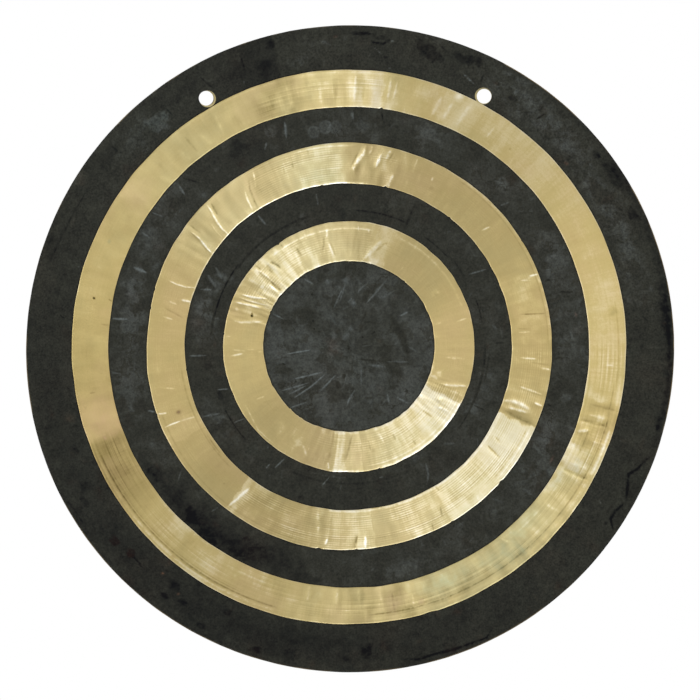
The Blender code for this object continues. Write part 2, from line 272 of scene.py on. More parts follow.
        (-0.45, 0.6, (322.5, 212), (322.7, 206)), (0.45, 0.5, (338.5, 202), (338.2, 199)),
        (-0.6, 0.6, (331.1, 218), (331.6, 212), (332.4, 205)), (-0.4, 0.6, (339.6, 218), (339.4, 210)),
        (-0.5, 0.8, (310.3, 219), (310.1, 213)),
    ),
}

# Patches: (tone, direction, reach, half width in degrees, half height in mm), then tint if any
# On the lathed rings a patch's tone is partly painted highlight and painted shade, and its tint tarnish.
PATCHES = {
    "centre_disc": (
        (-0.2, 155, 50, 7, 4), (-0.15, 300, 33, 9, 7), (-0.15, 345, 52, 20, 5), (-0.15, 52, 55, 14, 4),
        (-0.12, 230, 55, 12, 4), (0.06, 278, 11, 30, 4.5, 0.2), (-0.08, 210, 35, 30, 22),
        (0.09, 278, 40, 24, 22), (0.05, 130, 35, 20, 18), (-0.12, 95, 22, 40, 10),
        (-0.12, 20, 30, 25, 10), (-0.22, 115.4, 40, 13, 6), (-0.22, 306.2, 39, 9, 5),
        (0.55, 342.1, 48, 1.8, 1.5), (0.55, 357.4, 46.8, 2.6, 2.2), (0.75, 5.4, 30.6, 3.4, 2),
        (0.55, 306.9, 13, 8, 1.8), (0.55, 346.2, 8, 11, 1.6), (0.5, 5.1, 13, 7, 1.6),
        (0.45, 330, 7, 11, 1.4), (0.3, 158.7, 42, 2, 1.4), (0.3, 131.1, 51, 1.6, 1.4),
        (-0.4, 195.7, 28, 4, 2.5), (-0.4, 189.9, 21, 3, 1.2),
    ),
    "inner_ring": (
        (0.4, 321.4, 84, 2, 2.5), (0.2, 304.5, 83, 1.5, 3), (0.2, 184.8, 78, 1, 5),
        (-0.2, 298, 77, 1.2, 4), (-0.15, 314.5, 75, 1.5, 3), (0.2, 193.8, 64, 1.5, 2),
        (-0.15, 301.5, 67, 1.2, 3), (-0.15, 13.5, 75, 1.5, 4), (0.28, 58, 72, 1.7, 2.6),
        (0.35, 14.8, 64, 3, 2.5), (0.4, 113.2, 80, 1.2, 5), (0.4, 106, 67, 1.9, 2.6),
        (0.4, 109.5, 64, 1, 2.4), (0.22, 220, 76, 2, 4.5), (0.2, 208, 76, 2.5, 4.5),
        (0.15, 212, 70, 2, 4), (0.3, 197, 62, 1.4, 2), (0.25, 303, 70, 2, 5), (0.35, 304.7, 74, 0.9, 1.5),
        (0.5, 309.6, 84, 1, 1.6), (0.35, 325.8, 83, 0.9, 1.4), (0.35, 288.7, 84, 0.8, 1.4),
        (0.2, 0, 66, 4, 5), (-0.1, 230, 74, 12, 14),
    ),
    "inner_band": (
        (0.3, 300, 95, 3, 2.5), (0.25, 191.5, 102, 3, 4), (0.25, 240, 104, 3, 4), (0.2, 208, 106, 9, 5),
        (0.16, 102, 102, 9, 5), (0.08, 118, 105, 24, 20), (0.06, 52, 105, 16, 20),
        (-0.08, 268, 105, 12, 20), (0.25, 116, 98, 3, 4), (0.3, 297, 102, 5, 5), (0.16, 278, 104, 6, 8),
        (-0.3, 262, 100, 1.6, 2.4), (0.28, 286, 107, 2.5, 6), (0.2, 242, 109, 3, 5),
        (0.15, 55, 110, 4, 4), (0.18, 341, 96, 3, 4), (0.15, 248, 108, 5, 4), (-0.4, 249.1, 97, 1.5, 2),
        (-0.5, 197.5, 112, 1, 1.6), (-0.4, 154, 94, 1.2, 1.4), (-0.2, 8, 98, 14, 10),
        (-0.12, 200, 105, 40, 14), (-0.1, 345, 105, 16, 14),
    ),
    "middle_ring": (
        (0.2, 323.8, 119, 2, 4), (-0.2, 208.5, 138, 2, 4), (0.2, 140.5, 140, 3, 3),
        (-0.2, 117.2, 119, 1.5, 3), (0.2, 216, 140, 1, 3), (0.14, 352, 130, 1.5, 6),
        (0.3, 110.8, 122, 1, 3), (-0.15, 315.8, 123, 1.2, 4), (-0.15, 122.5, 119, 3, 3),
        (-0.15, 131.2, 119, 3, 3), (-0.12, 358.5, 125, 1.5, 4), (0.12, 340.5, 126, 1.5, 4),
        (-1.6, 249.1, 129, 0.5, 1.5, 0.5), (0.15, 190, 124, 2.5, 5, -0.2), (0.12, 349, 121, 7, 5, -0.3),
        (-0.25, 27.6, 126, 0.8, 1.4), (-0.3, 193, 116, 0.8, 1.2), (-0.08, 32, 130, 14, 15),
        (-0.1, 226, 130, 8, 15), (0.08, 80, 130, 22, 15),
    ),
    "outer_band": (
        (-0.35, 190, 166, 3, 3), (-0.3, 239.5, 166, 3, 3), (-0.3, 280.8, 152, 2, 4),
        (0.2, 70.2, 150, 2, 3), (0.25, 292.5, 148, 2, 2.5), (0.2, 3, 157, 3, 5), (0.2, 339.2, 150, 2, 4),
        (0.14, 23, 159, 7, 8), (0.14, 19.8, 162, 1.8, 3), (0.22, 43.1, 158, 1.8, 4),
        (0.16, 66, 160, 5, 8), (0.2, 103, 158, 1.5, 3), (0.25, 251.2, 164, 1.6, 3),
        (0.28, 285, 160, 2, 4.5), (0.2, 276, 154, 9, 8), (0.12, 256, 158, 7, 8), (0.16, 297, 160, 5, 7),
        (0.12, 165, 158, 8, 8), (0.25, 323.3, 157, 1.5, 3), (-0.3, 330.8, 160, 2.5, 4),
        (-0.2, 327, 156, 12, 12), (-0.6, 228, 163, 9, 9), (-0.8, 214, 163, 12, 11),
        (-0.5, 201, 158, 9, 12), (-0.35, 194, 162, 3, 8), (-0.3, 208.1, 166, 2, 3),
        (-0.3, 216.2, 168, 2.4, 3), (-0.3, 222.3, 163, 2.2, 4), (-0.3, 237.1, 162, 2, 4),
        (0.06, 318, 158, 20, 20), (0.3, 82, 162, 0.6, 0.7, 0.6), (0.3, 119, 164, 0.9, 0.7, 0.6),
        (0.45, 103.2, 160, 0.3, 0.7), (0.12, 85, 160, 14, 12), (0.12, 125, 155, 16, 12),
    ),
    "outer_ring": (
        (-0.12, 144.5, 192, 3, 2.5), (0.15, 138.5, 174, 2, 3), (0.15, 5.5, 181, 1.2, 8),
        (0.2, 347.6, 175, 1.5, 4), (0.15, 142, 174, 2, 3), (0.12, 180.8, 174, 3, 3),
        (0.12, 150.2, 174, 2, 3), (-0.12, 216, 192, 2, 2), (0.6, 23.8, 193, 0.65, 2.6),
        (-0.3, 82.4, 187, 0.8, 3.6, -0.2), (0.42, 122.6, 175, 2.2, 3, -0.5), (0.25, 137, 177, 3, 5, -0.6),
        (0.28, 158, 180, 4, 4.5, -0.7), (0.2, 147, 180, 3, 5, -0.5), (0.2, 117, 182, 3, 5, -0.4),
        (0.4, 132.5, 175, 2.5, 5, -0.3), (-0.14, 112.5, 183, 1.5, 9), (-0.12, 170, 183, 3, 8, 0.2),
        (0.12, 130, 192, 14, 4, 0.25), (-0.2, 139.7, 187, 0.8, 5, -0.7),
        (-0.16, 142.6, 182, 1.2, 7, -0.6), (-0.12, 146, 188, 1.2, 4, -0.5),
        (-0.22, 157.8, 192, 3, 3, 0.3), (-0.25, 164, 187, 0.8, 2, 0.4), (0.24, 152.8, 176, 0.9, 5, -0.3),
        (0.24, 155.3, 176, 0.9, 5, -0.3), (0.24, 157.5, 176, 0.9, 5, -0.3),
        (0.24, 160.2, 176, 0.9, 5, -0.3), (0.24, 162.5, 176, 0.9, 5, -0.3),
        (0.2, 164.3, 176, 0.8, 5, -0.3), (0.2, 166.2, 176, 0.7, 5, -0.3), (0.25, 176.6, 190, 0.6, 5),
        (0.2, 205.9, 177, 1.6, 3.6, -0.2), (0.2, 200.2, 175, 0.8, 4, -0.2),
        (0.2, 203.2, 175, 0.7, 4, -0.2), (0.2, 186.9, 176, 0.9, 6, -0.2),
        (-0.5, 220, 193, 0.35, 0.9, 0.5), (-0.06, 253, 181, 4, 12, 0.5), (-0.35, 249.4, 184, 0.4, 1, 0.9),
        (-0.15, 293.7, 185, 0.4, 1.2, -0.9), (0.12, 268, 176, 8, 5), (0.08, 80, 183, 22, 14, 0.1),
        (0.4, 113.7, 173, 0.4, 1.2), (-0.4, 125.4, 178, 0.4, 1.2),
    ),
    "rim_band": (
        (-0.5, 84, 224, 4, 3), (-0.3, 58.5, 207, 2.5, 4), (0.25, 318.5, 203, 3, 3),
        (0.25, 32.5, 224, 3, 2.5), (0.2, 349.5, 204, 3, 3), (0.2, 24.8, 224, 2, 2),
        (0.2, 45.8, 209, 3, 4), (0.3, 37, 213, 14, 16), (0.22, 62, 208, 16, 12), (0.14, 352, 212, 7, 14),
        (0.12, 75, 210, 14, 14), (0.3, 316, 212, 8, 12, -0.1), (0.12, 303, 209, 5, 7),
        (0.1, 330, 206, 4, 5), (-0.2, 309, 217, 3, 4), (-0.42, 193, 212, 30, 16),
        (-0.1, 160, 212, 22, 16), (-0.28, 228, 212, 16, 16), (-0.2, 262, 212, 20, 16),
        (-0.75, 2.3, 221, 1.9, 1.2), (-0.5, 6.3, 219, 1.2, 1.8), (0.5, 8.1, 218, 0.4, 0.9),
        (-0.65, 13.6, 218, 1.9, 3.6), (-0.65, 16.2, 213, 1.7, 3.4), (-0.6, 21.8, 219, 2.3, 2.8),
        (-0.55, 24.4, 222, 0.8, 3), (0.6, 357.5, 219, 0.22, 0.6, 1), (-0.5, 7.2, 206, 0.4, 1),
        (-0.5, 33.4, 210, 0.9, 2), (-0.7, 52.2, 221, 0.8, 1.8), (-0.45, 57, 222, 3, 3),
        (-0.45, 63, 215, 0.4, 1), (-0.6, 65.2, 221, 1.2, 3), (0.1, 49.9, 201, 0.5, 1, 0.7),
        (-0.45, 89.9, 207, 0.4, 1), (-0.45, 99, 220, 0.4, 1), (-0.55, 104.1, 225, 1.1, 1.4),
        (-0.45, 124.5, 220, 0.4, 1), (-0.6, 176.9, 214, 1.1, 4), (-0.5, 180.4, 220, 0.9, 2.2),
        (0.6, 224.2, 213, 0.2, 0.6), (0.7, 219.4, 207, 0.22, 0.8, 1), (0.7, 214.6, 212, 0.22, 0.7, 1),
        (-0.55, 216.2, 210, 1.2, 4.2), (-0.5, 216.7, 218, 0.9, 2.2), (-0.45, 212.9, 215, 0.8, 1.8),
        (-0.45, 204.6, 206, 0.8, 2), (-0.45, 207.9, 223, 0.9, 1.8), (-0.5, 196.7, 223, 1.1, 2.2),
        (-0.4, 249, 206, 0.7, 1.8), (-0.55, 242.5, 211, 1.2, 4.2), (-0.45, 239.6, 216, 0.9, 2.2),
        (-0.5, 230.3, 215, 1, 2.4, 0.1), (-0.45, 226.5, 212, 1, 2.2, 0.1), (-0.4, 273.5, 218, 0.4, 1.3),
        (-0.4, 280.5, 209, 0.7, 1.8), (-0.4, 289.8, 224, 0.9, 1.8), (0.8, 286.5, 199, 0.2, 0.5),
        (0.6, 286.8, 197, 0.2, 0.4), (0.28, 319.9, 208, 2.2, 3.6, -0.5), (-0.35, 343.4, 203, 1.8, 6),
        (-0.25, 337, 208, 4, 7), (-0.25, 328, 214, 4, 5), (-0.5, 345.2, 220, 0.7, 2.8),
    ),
}

# Sectors of painted highlight and painted shade on the rings, where tone changes across the crease
# lines as they move the lamps' highlights, and darker sectors on the scale:
# (tone, from, to, degrees in which it comes in, degrees in which it goes out), then tint if any
SECTORS = {
    "inner_ring": (
        (0.14, 15, 22, 3, 4), (-0.04, 134, 142, 4, 4), (0.05, 148, 164, 6, 4, -0.1),
        (-0.08, 172.5, 178, 1, 1), (0.1, 178.5, 189, 1, 1, -0.1), (0.1, 303, 309, 2, 2, -0.05),
        (0.03, 314, 343, 5, 5, -0.15), (0.05, 350, 358, 3, 3, -0.05), (0.02, 108, 195, 25, 25),
        (0.12, 302, 350, 12, 10, -0.1), (-0.08, 322, 342, 8, 8), (0.1, 118, 168, 8, 12, -0.1),
        (0.34, 117, 145, 0.5, 30), (-0.06, 112, 117, 5, 0.5), (-0.22, 168.5, 173, 2.5, 0.6),
        (0.1, 173, 178.5, 0.8, 2), (-0.14, 179, 182.3, 1.6, 1.6), (0.18, 182.5, 187, 1.6, 1),
        (-0.12, 187, 198, 0.5, 10), (-0.08, 50, 70, 10, 10), (-0.16, 340, 366, 8, 8), (0.12, 9, 24, 6, 8),
        (-0.15, 158, 168, 10, 1), (-0.1, 130, 148, 6, 6), (0.08, 115.5, 125, 1, 5),
        (0.08, 203, 217, 5, 5),
    ),
    "middle_ring": (
        (-0.07, 75, 81, 2, 2), (0.1, 135, 147, 4, 4, -0.12), (-0.06, 153, 159, 2, 3),
        (0.1, 189, 195, 1.5, 2), (-0.1, 201, 212, 4, 3), (0.1, 345, 358, 4, 2, -0.08),
        (0.06, 318, 327.6, 4, 0.5, -0.05), (0.05, 339, 345, 2, 2, -0.08), (0.03, 108, 150, 25, 25),
        (0.1, 306, 358, 12, 6, -0.1), (-0.05, 8, 24, 6, 6), (0.12, 114, 160, 1, 12, -0.15),
        (0.4, 113.8, 131, 0.5, 20), (-0.12, 110.8, 113.5, 1, 0.5), (-0.14, 166, 172.3, 2, 0.5),
        (0.14, 172.3, 186, 0.5, 3), (-0.12, 187.3, 197, 2, 8), (0.08, 68, 84, 5, 5),
        (-0.2, 327.6, 338, 0.5, 10, 0.15), (0.08, 343, 358, 6, 5, -0.2), (-0.1, 360, 367, 5, 6),
        (0.1, 240.8, 247, 0.8, 3, 0.1), (-0.24, 308, 327.6, 10, 0.5), (-0.2, 331, 366, 8, 8),
        (-0.09, 54, 98, 10, 10), (0.2, 207, 217.2, 12, 0.4), (0.08, 10, 44, 8, 12),
    ),
    "outer_ring": (
        (0.1, 357, 367.8, 3, 0.5, -0.1), (0.12, 21, 28, 2, 3), (0.05, 45, 63, 4, 4),
        (0.06, 75, 103, 4, 2), (-0.06, 106, 110, 1, 1), (0.09, 111, 122, 2, 3), (0.15, 129.5, 135, 2, 2),
        (-0.05, 141, 165, 4, 4), (-0.08, 195, 206, 3, 3, 0.1), (0.08, 207, 225, 3, 3),
        (-0.08, 231, 237, 2, 2), (-0.08, 302, 310, 3, 3), (-0.08, 351, 357, 2, 2, -0.1),
        (0.04, 346.5, 367.8, 5, 0.5, 0.1), (-0.12, 102.3, 106, 0.8, 3), (0.1, 107.8, 113, 0.8, 4),
        (0.1, 171, 176.6, 5, 0.4, 0.1), (-0.58, 236, 249.3, 12, 3, 0.15),
        (0.03, 249.3, 258, 1.6, 8, 0.35), (-0.31, 130, 182, 14, 14), (0, 112, 162, 10, 10, -0.35),
        (-0.34, 310, 350, 12, 8, -0.05), (-0.1, 338, 350, 8, 6), (0.02, 351, 367.8, 6, 0.5),
        (0.07, 25, 50, 8, 8), (-0.08, 145, 190, 10, 10), (-0.12, 292, 350, 10, 8),
        (-0.09, 249, 280, 1, 10), (0.05, 10, 124, 10, 12), (0.04, 12, 52, 8, 12), (-0.12, 256, 270, 6, 8),
        (0.06, 195, 232, 8, 8),
    ),
    "rim_band": ((-0.3, 338, 346, 8, 0.5),),
    "outer_band": ((-0.15, 333, 343, 10, 0.4),),
}

# Arcs round the lathe's centre: (tone, half width in mm, reach, from, to)
# On the lathed rings an arc is painted highlight or painted shade along an edge or a crease; on the scale
# a darker or lighter line.
ARCS = {
    "inner_ring": (
        (0.45, 0.6, 87.9, 117, 167), (0.45, 0.6, 87.9, 175, 187), (0.25, 0.6, 85.2, 117, 170),
        (0.35, 0.8, 83.8, 321, 371), (0.2, 0.8, 84.8, 25, 70), (0.2, 0.8, 61.2, 300, 378),
        (0.2, 0.8, 61.2, 100, 190),
    ),
    "inner_band": (
        (-0.6, 0.4, 96.4, 2, 25), (-0.6, 0.4, 94.5, 35, 48), (-0.5, 0.4, 95.5, 48, 60),
        (-0.6, 0.4, 95.8, 69, 79), (-0.6, 0.4, 96.3, 90, 118), (-0.4, 0.4, 96.6, 118, 127),
        (-0.5, 0.4, 97, 153, 205), (-0.55, 0.5, 98.2, 228, 243), (-0.4, 0.5, 97.8, 275, 284),
        (-0.65, 0.5, 97.4, 284, 306), (-0.6, 0.5, 96.2, 306, 342), (-0.4, 0.3, 98.8, 94, 104),
        (0.25, 0.4, 92.4, 180, 196),
    ),
    "middle_ring": (
        (-0.35, 0.4, 138.5, 115, 132), (0.25, 0.9, 140.4, 115, 131), (0.35, 0.7, 116.5, 142, 187),
        (0.25, 0.7, 116.8, 113, 142), (0.45, 0.7, 116, 326, 366), (0.25, 0.7, 116.4, 285, 326),
        (-0.25, 0.4, 140.8, 33, 89), (0.12, 0.9, 142.4, 33, 89), (0.35, 0.6, 142.2, 345, 361),
        (-0.3, 0.5, 119.4, 225, 262), (-0.2, 0.5, 140.6, 196, 250),
    ),
    "outer_ring": (
        (-0.25, 0.5, 190.5, 81, 98), (-0.4, 0.5, 189.2, 98, 105), (-0.6, 0.5, 190, 105, 128),
        (-0.6, 0.5, 189.8, 128, 175), (0.12, 0.9, 193, 96, 175), (-0.6, 0.45, 191, 196, 246),
        (0.2, 0.9, 193.4, 196, 246), (-0.35, 0.4, 189.3, 204, 244), (-0.3, 0.9, 191.8, 208, 218),
        (-0.38, 0.4, 179.3, 109, 115), (-0.14, 0.5, 171.6, 96, 105), (-0.16, 0.5, 177.6, 238, 248),
        (-0.16, 0.5, 181.2, 238, 248), (-0.16, 0.5, 185, 232, 248), (0.12, 0.8, 171.6, 215, 240),
        (0.12, 0.7, 194, 320, 372), (0.35, 0.7, 193.6, 108, 117),
    ),
    "outer_band": ((-0.2, 0.5, 145, 180, 200),),
    "rim_band": (
        (-0.22, 3.4, 227, 55, 108), (-0.18, 2.2, 226.4, 78, 104), (-0.1, 3, 227, 38, 62),
        (-0.1, 1.8, 227.6, 140, 182), (-0.1, 1.8, 227.6, 196, 250),
    ),
}

# Dimples: (tone, rise in mm, direction, reach, radius in mm). A knob stands up and a pit goes in.
DIMPLES = {
    "centre_disc": (
        (-1.3, -0.05, 324.8, 45.3, 0.7), (-1.3, -0.05, 305.8, 31.1, 0.7), (-1.1, -0.05, 297.2, 23.6, 0.6),
        (-1.1, -0.05, 297.4, 27.6, 0.6), (-1.3, -0.05, 59.9, 20.6, 0.7), (-1.2, -0.05, 193.2, 1.2, 0.6),
        (-1.1, -0.05, 255, 47.7, 0.6), (-1.1, -0.05, 55.7, 12, 0.6),
    ),
    "inner_ring": (
        (-3.4, -0.10, 287.6, 72, 0.9), (-2.2, -0.06, 288.8, 72.3, 0.6), (-0.5, -0.06, 20, 77.6, 0.7),
        (-0.2, 0.16, 120.5, 74.2, 1.7), (-0.25, 0.12, 166.6, 75.2, 1.5), (-0.15, 0.12, 190.6, 78, 1.8),
        (-0.3, -0.05, 58.9, 71.8, 1.4),
    ),
    "middle_ring": ((-0.5, -0.06, 222.3, 130.9, 0.6),),
    "outer_ring": (
        (-3.0, -0.10, 280.8, 183.2, 0.8), (-0.5, -0.08, 39.2, 180.1, 0.8),
        (-0.45, -0.05, 114.1, 178.9, 0.7),
    ),
    "outer_band": ((-0.5, -0.10, 93, 149, 0.9), (-0.4, -0.08, 302, 163, 1.0)),
    "rim_band": ((-0.4, -0.06, 58, 203, 0.8), (-0.4, -0.06, 306.5, 217, 0.8)),
}

# Ring-shaped marks of the peen: (tone, direction, reach, radius in mm)
PEEN_MARKS = {
    "outer_band": (
        (0.24, 350.7, 153.6, 3.6), (0.26, 353.9, 156, 4), (0.2, 356.4, 155.5, 4), (0.16, 340.1, 162.2, 4),
    ),
    "centre_disc": ((0.18, 300, 38, 4.0), (0.15, 80, 30, 4.5), (0.2, 30.7, 44.8, 3.5)),
}

# The dark zones aren't alike: the tone of the whole zone.
ZONE_TONES = {"centre_disc": 0.19, "inner_band": 0.01, "outer_band": 0.06, "rim_band": -0.10}

# Where bare metal shows along the rim's edge: (from, to, how bare)
BARE_EDGES = (
    (28, 45, 0.7), (60, 105, 0.6), (144, 166, 1.0), (170, 176, 0.8), (183, 243, 0.6), (258, 272, 0.7),
    (313, 319, 0.7), (0, 360, 0.10),
)
# It starts this far inside the outline and is full after this far.
BARE_REACH = 1.6 * EDGE_BEVEL
BARE_RISE = 0.8 * EDGE_BEVEL
# Each part's ends take this many degrees, and how bare it is gets multiplied and lowered by these.
BARE_BLUR = 3
BARE_GAIN = 1.25
BARE_LEVEL = 0.1

# Random hairlines of each zone: (how many, their longest in mm, tone at most)
HAIRLINES = {
    "centre_disc": (70, 14, 0.18),
    "inner_ring": (50, 8, 0.18),
    "inner_band": (90, 10, 0.18),
    "middle_ring": (80, 9, 0.18),
    "outer_band": (130, 12, 0.16),
    "outer_ring": (80, 9, 0.12),
    "rim_band": (190, 9, 0.17),
}
# The ranges of their lengths and tones as shares of the most, and of their half widths in mm
HAIRLINE_LENGTHS = (0.3, 1.0)
HAIRLINE_TONES = (0.2, 1.0)
HAIRLINE_WIDTHS = (0.36, 0.81)
DARK_OR_BRIGHT = (-0.6, 1.0)
# How far they lean from the radius, in radians: at random on a ring, and at most on the scale
RING_LEAN = 0.15
SCALE_LEAN = 1.4

# Random smudges of each zone: (how many, their longest in mm, tone at most)
SMUDGES = {
    "centre_disc": (60, 7, 0.10),
    "inner_ring": (50, 7, 0.10),
    "inner_band": (110, 8, 0.16),
    "middle_ring": (70, 7, 0.10),
    "outer_band": (170, 9, 0.20),
    "outer_ring": (110, 7, 0.10),
    "rim_band": (260, 9, 0.22),
}
SMUDGE_SIZES = (0.1, 0.6)
SMUDGE_TONES = (-1.2, 1.0)
SMUDGE_TINT = 0.04
# Random marks keep this far from the lathe's centre, in mm.
LEAST_REACH = 6

# Each zone's points: columns round the plate, the step between rows on the front, and on the back
Zone = namedtuple("Zone", "name slot segments front_step back_step")
ZONES = (
    Zone("centre_disc", "fire_scale", 720, 0.75 * MM, 1.4 * MM),
    Zone("inner_ring", "lathed_bronze", 1080, 0.54 * MM, 1.6 * MM),
    Zone("inner_band", "fire_scale", 1200, 0.8 * MM, 1.4 * MM),
    Zone("middle_ring", "lathed_bronze", 1200, 0.52 * MM, 1.6 * MM),
    Zone("outer_band", "fire_scale", 1500, 0.8 * MM, 1.4 * MM),
    Zone("outer_ring", "lathed_bronze", 1380, 0.55 * MM, 1.6 * MM),
    Zone("rim_band", "fire_scale", 1380, 0.9 * MM, 1.5 * MM),
)
BEVEL_STEPS = 3
# The rows next to a zone's edges are this share of a step from them.
EDGE_ROW = 0.45
SHARP_ANGLE = radians(35)
MERGE_DISTANCE = 1e-7
ZONE_SEED = 200
SEEDS_APART = 10

# The lathe's grooves on the front: (rows of points to each, depth, darkest tone in one, which is painted
# shade in its hollow)
GROOVES = {
    "inner_ring": (3, 0.022 * MM, 0.50),
    "middle_ring": (3, 0.022 * MM, 0.70),
    "outer_ring": (6, 0.022 * MM, 0.40),
}
GROOVE_DEPTHS = (0.3, 1.0)
BACK_GROOVE_ROWS = 2
# Where those grooves are deep and their painted highlight and shade strong, which is where the
# lamps' highlights fall: (from, to, how much). Elsewhere they are shallow and faint.
LEAST_GROOVE_DEPTH_AND_GLINT = 0.10
GROOVE_DEPTH_AND_GLINT_SECTORS = {
    "inner_ring": ((112, 172, 1.0), (172, 200, 0.5), (296, 350, 0.8), (350, 372, 0.5)),
    "middle_ring": (
        (90, 112, 0.4), (113.5, 172, 1.0), (172, 215, 0.8), (329, 358, 0.9), (358, 375, 0.4),
    ),
    "outer_ring": ((90, 182, 0.9), (182, 236, 0.6), (236, 250, 1.0), (340, 368, 0.8)),
}
# They are worn away over these shares of the ring's width, inside and outside, down to this much.
WORN_INSIDE = 0.35
WORN_OUTSIDE = 0.30
LEFT_AT_EDGES = 0.25
# How sharp they are on average, and at most, where they come and go in patches
PATCHY_LEVEL = 0.75
PATCHY_MOST = 1.6

# Where hammering left a ring creased along its radius, with painted highlight and shade in bands
# along the creases: (from, to, how much). Elsewhere it is flatter.
LEAST_CREASED = 0.15
CREASED = {
    "inner_ring": ((283, 352, 1.3), (352, 380, 0.6), (110, 200, 0.8)),
    "middle_ring": ((300, 378, 1.1), (140, 218, 0.9), (64, 114, 0.7)),
    "outer_ring": (
        (338, 372, 1.2), (12, 40, 0.5), (100, 182, 1.5), (182, 225, 0.7), (236, 262, 0.8),
        (262, 338, 0.5),
    ),
}
# How many degrees a change along a ring takes
PART_BLUR = 5
ARC_BLUR = 2.5

# A stroke or arc on a lathed ring is a crease in relief whose tone is painted highlight or painted shade,
# and on the scale a scratch.
CREASE_RISE = 0.17 * MM
CREASE_HIGHLIGHT_AND_SHADE = 1.1
SCRATCH_RISE = 0.03 * MM
SCRATCH_TONE = 1.4
# The relief of a stroke is this many times wider than its tone, and as high as if no wider than this.
SWELL = 2.0
WIDEST_RISE = 1.5
# A stroke's ends: their share of its width, and the fade to them. In full it would take this part of
# the stroke's length, and the stroke starts this far through it.
END_WIDTH = 0.55
END_PART = 0.25
END_FADE = 0.25
# Mottling breaks lines up this much, within these limits.
LINE_BREAKS = 1.1
BREAK_LIMITS = (0.2, 1.8)

# A patch is soft on a ring, and on the scale where it is bright or half of it is over this. Others are
# crisp. These are how fast a soft one fades, where and how fast a crisp one ends, and their mottling.
WIDE_PATCH = 4
SOFT_FALL = 1.2
SOFT_MOTTLE = 0.5
CRISP_EDGE = 1.1
CRISP_FALL = 1.7
CRISP_MOTTLE = 0.9
# Patches with a lower half height than the first or a higher one than the second, in mm, are warped
# less. The ends of sectors are warped by this many degrees.
WARPED_FROM = 3
WARPED_TO = 5
SECTOR_WARP = 0.8
# How far round the plate a mark can reach: this many times a patch's half width, then this many degrees
# more for a patch or an arc, and this many for a stroke
PATCH_SPREAD = 2.2
COLUMN_MARGIN = 3
STROKE_MARGIN = 1

# How fast a dimple fades outward
PIT_FALL = 1.5
# Peen marks: half the width of the ring and the blur of its inside in mm, the inside's share of the
# tone, the ring's height, and how many degrees to each side one can reach
PEEN_RING = 0.8
PEEN_BLUR = 1.5
PEEN_INSIDE = 0.6
PEEN_RISE = 0.03 * MM
PEEN_COLUMNS = 8

# Along every lathed edge, for this far, the scale has a painted shadow line and the metal a painted
# highlight.
EDGE_LINE = 0.9 * MM
EDGE_SHADOW_TONE = -0.8
EDGE_HIGHLIGHT_TONE = 0.25

# Columns of points stand this many times closer at strokes and creases than elsewhere.
CLOSER_COLUMNS = 3.0
# That is at the ends of a sector that take fewer degrees than this, and at strokes that span fewer
# degrees than twice this many, each with a margin of this share of its width.
SHARP_CHANGE = 1.0
RADIAL_STROKE = 2
BUSY_WIDTH = 1.3
# How close they stand is worked out in steps of this many degrees.
COLUMN_STEP = 0.05

# The camera frames this width at the plate's front.
FRAME_WIDTH = 0.4935
SENSOR_WIDTH = 36.0
LENS = 200.0
CAMERA_X = -0.0001
CAMERA_Z = -0.0009

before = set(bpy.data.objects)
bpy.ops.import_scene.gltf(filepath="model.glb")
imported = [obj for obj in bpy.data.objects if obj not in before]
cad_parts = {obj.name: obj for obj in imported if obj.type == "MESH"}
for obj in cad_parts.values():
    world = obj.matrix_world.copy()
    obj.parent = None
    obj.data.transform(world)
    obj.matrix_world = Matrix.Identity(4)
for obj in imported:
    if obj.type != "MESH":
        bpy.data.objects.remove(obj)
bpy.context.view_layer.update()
PLATE_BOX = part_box("gong_plate")


def smooth_step(value):
    value = np.clip(value, 0, 1)
    return value * value * (3 - 2 * value)


def lathed_edges():
    """The radius of each edge of the lathed rings, the innermost first."""
    radius = DIAMETER / 2
    edges = []
    for width in (RIM_BAND, OUTER_RING, OUTER_BAND, MIDDLE_RING, INNER_BAND, INNER_RING):
        radius -= width
        edges.append(radius)
    return edges[::-1]


EDGES = lathed_edges()


def waves_at(waves, direction):
    return sum(
        height * np.cos(lobes * (direction - radians(crest)))
        for lobes, height, crest in waves
    )


def turned_from(direction, degrees):
    """The angle from a direction in degrees to each of these, between minus and plus half a turn."""
    return (direction - radians(degrees) + pi) % tau - pi


def degrees_wide(length, reach):
    """How many degrees a length takes up at this reach."""
    return np.degrees(length / reach)


def fade(part):
    """The fifth-degree ease of gradient noise, from 0 to 1 over a cell."""
    return part**3 * (part * (part * 6 - 15) + 10)


def gradient_noise(u, v, seed, period=0):
    """Smooth noise of about -0.7 to 0.7 over unit cells. With a period, it repeats along u."""
    turn = np.random.default_rng(seed).uniform(0, tau, (LATTICE, LATTICE))
    cell_u = np.floor(u).astype(int)
    cell_v = np.floor(v).astype(int)
    part_u = u - cell_u
    part_v = v - cell_v

    def corner(step_u, step_v):
        at_u = cell_u + step_u
        at_u = at_u % period if period else at_u
        angle = turn[at_u % LATTICE, (cell_v + step_v) % LATTICE]
        return np.cos(angle) * (part_u - step_u) + np.sin(angle) * (part_v - step_v)

    fade_u = fade(part_u)
    fade_v = fade(part_v)
    low, high = (corner(0, step) * (1 - fade_u) + corner(1, step) * fade_u for step in (0, 1))
    return low * (1 - fade_v) + high * fade_v


def plate_noise(x, z, layers):
    """The sum of layers of noise at places on the plate, in mm."""
    return sum(
        weight * gradient_noise(x / cell + moved, z / cell + moved, seed)
        for cell, moved, seed, weight in layers
    )


def round_noise(direction, reach, cells, step, seed, weight):
    """Noise with this many cells round the plate, and one to each step of reach."""
    return weight * gradient_noise(direction / tau * cells, reach / step, seed, cells)


def between(turned, start, end, rise, fall):
    """1 between two directions and 0 outside them, where turned is the degrees from their middle."""
    half = (end - start) / 2
    return smooth_step((turned + half) / rise + 0.5) * smooth_step((half - turned) / fall + 0.5)


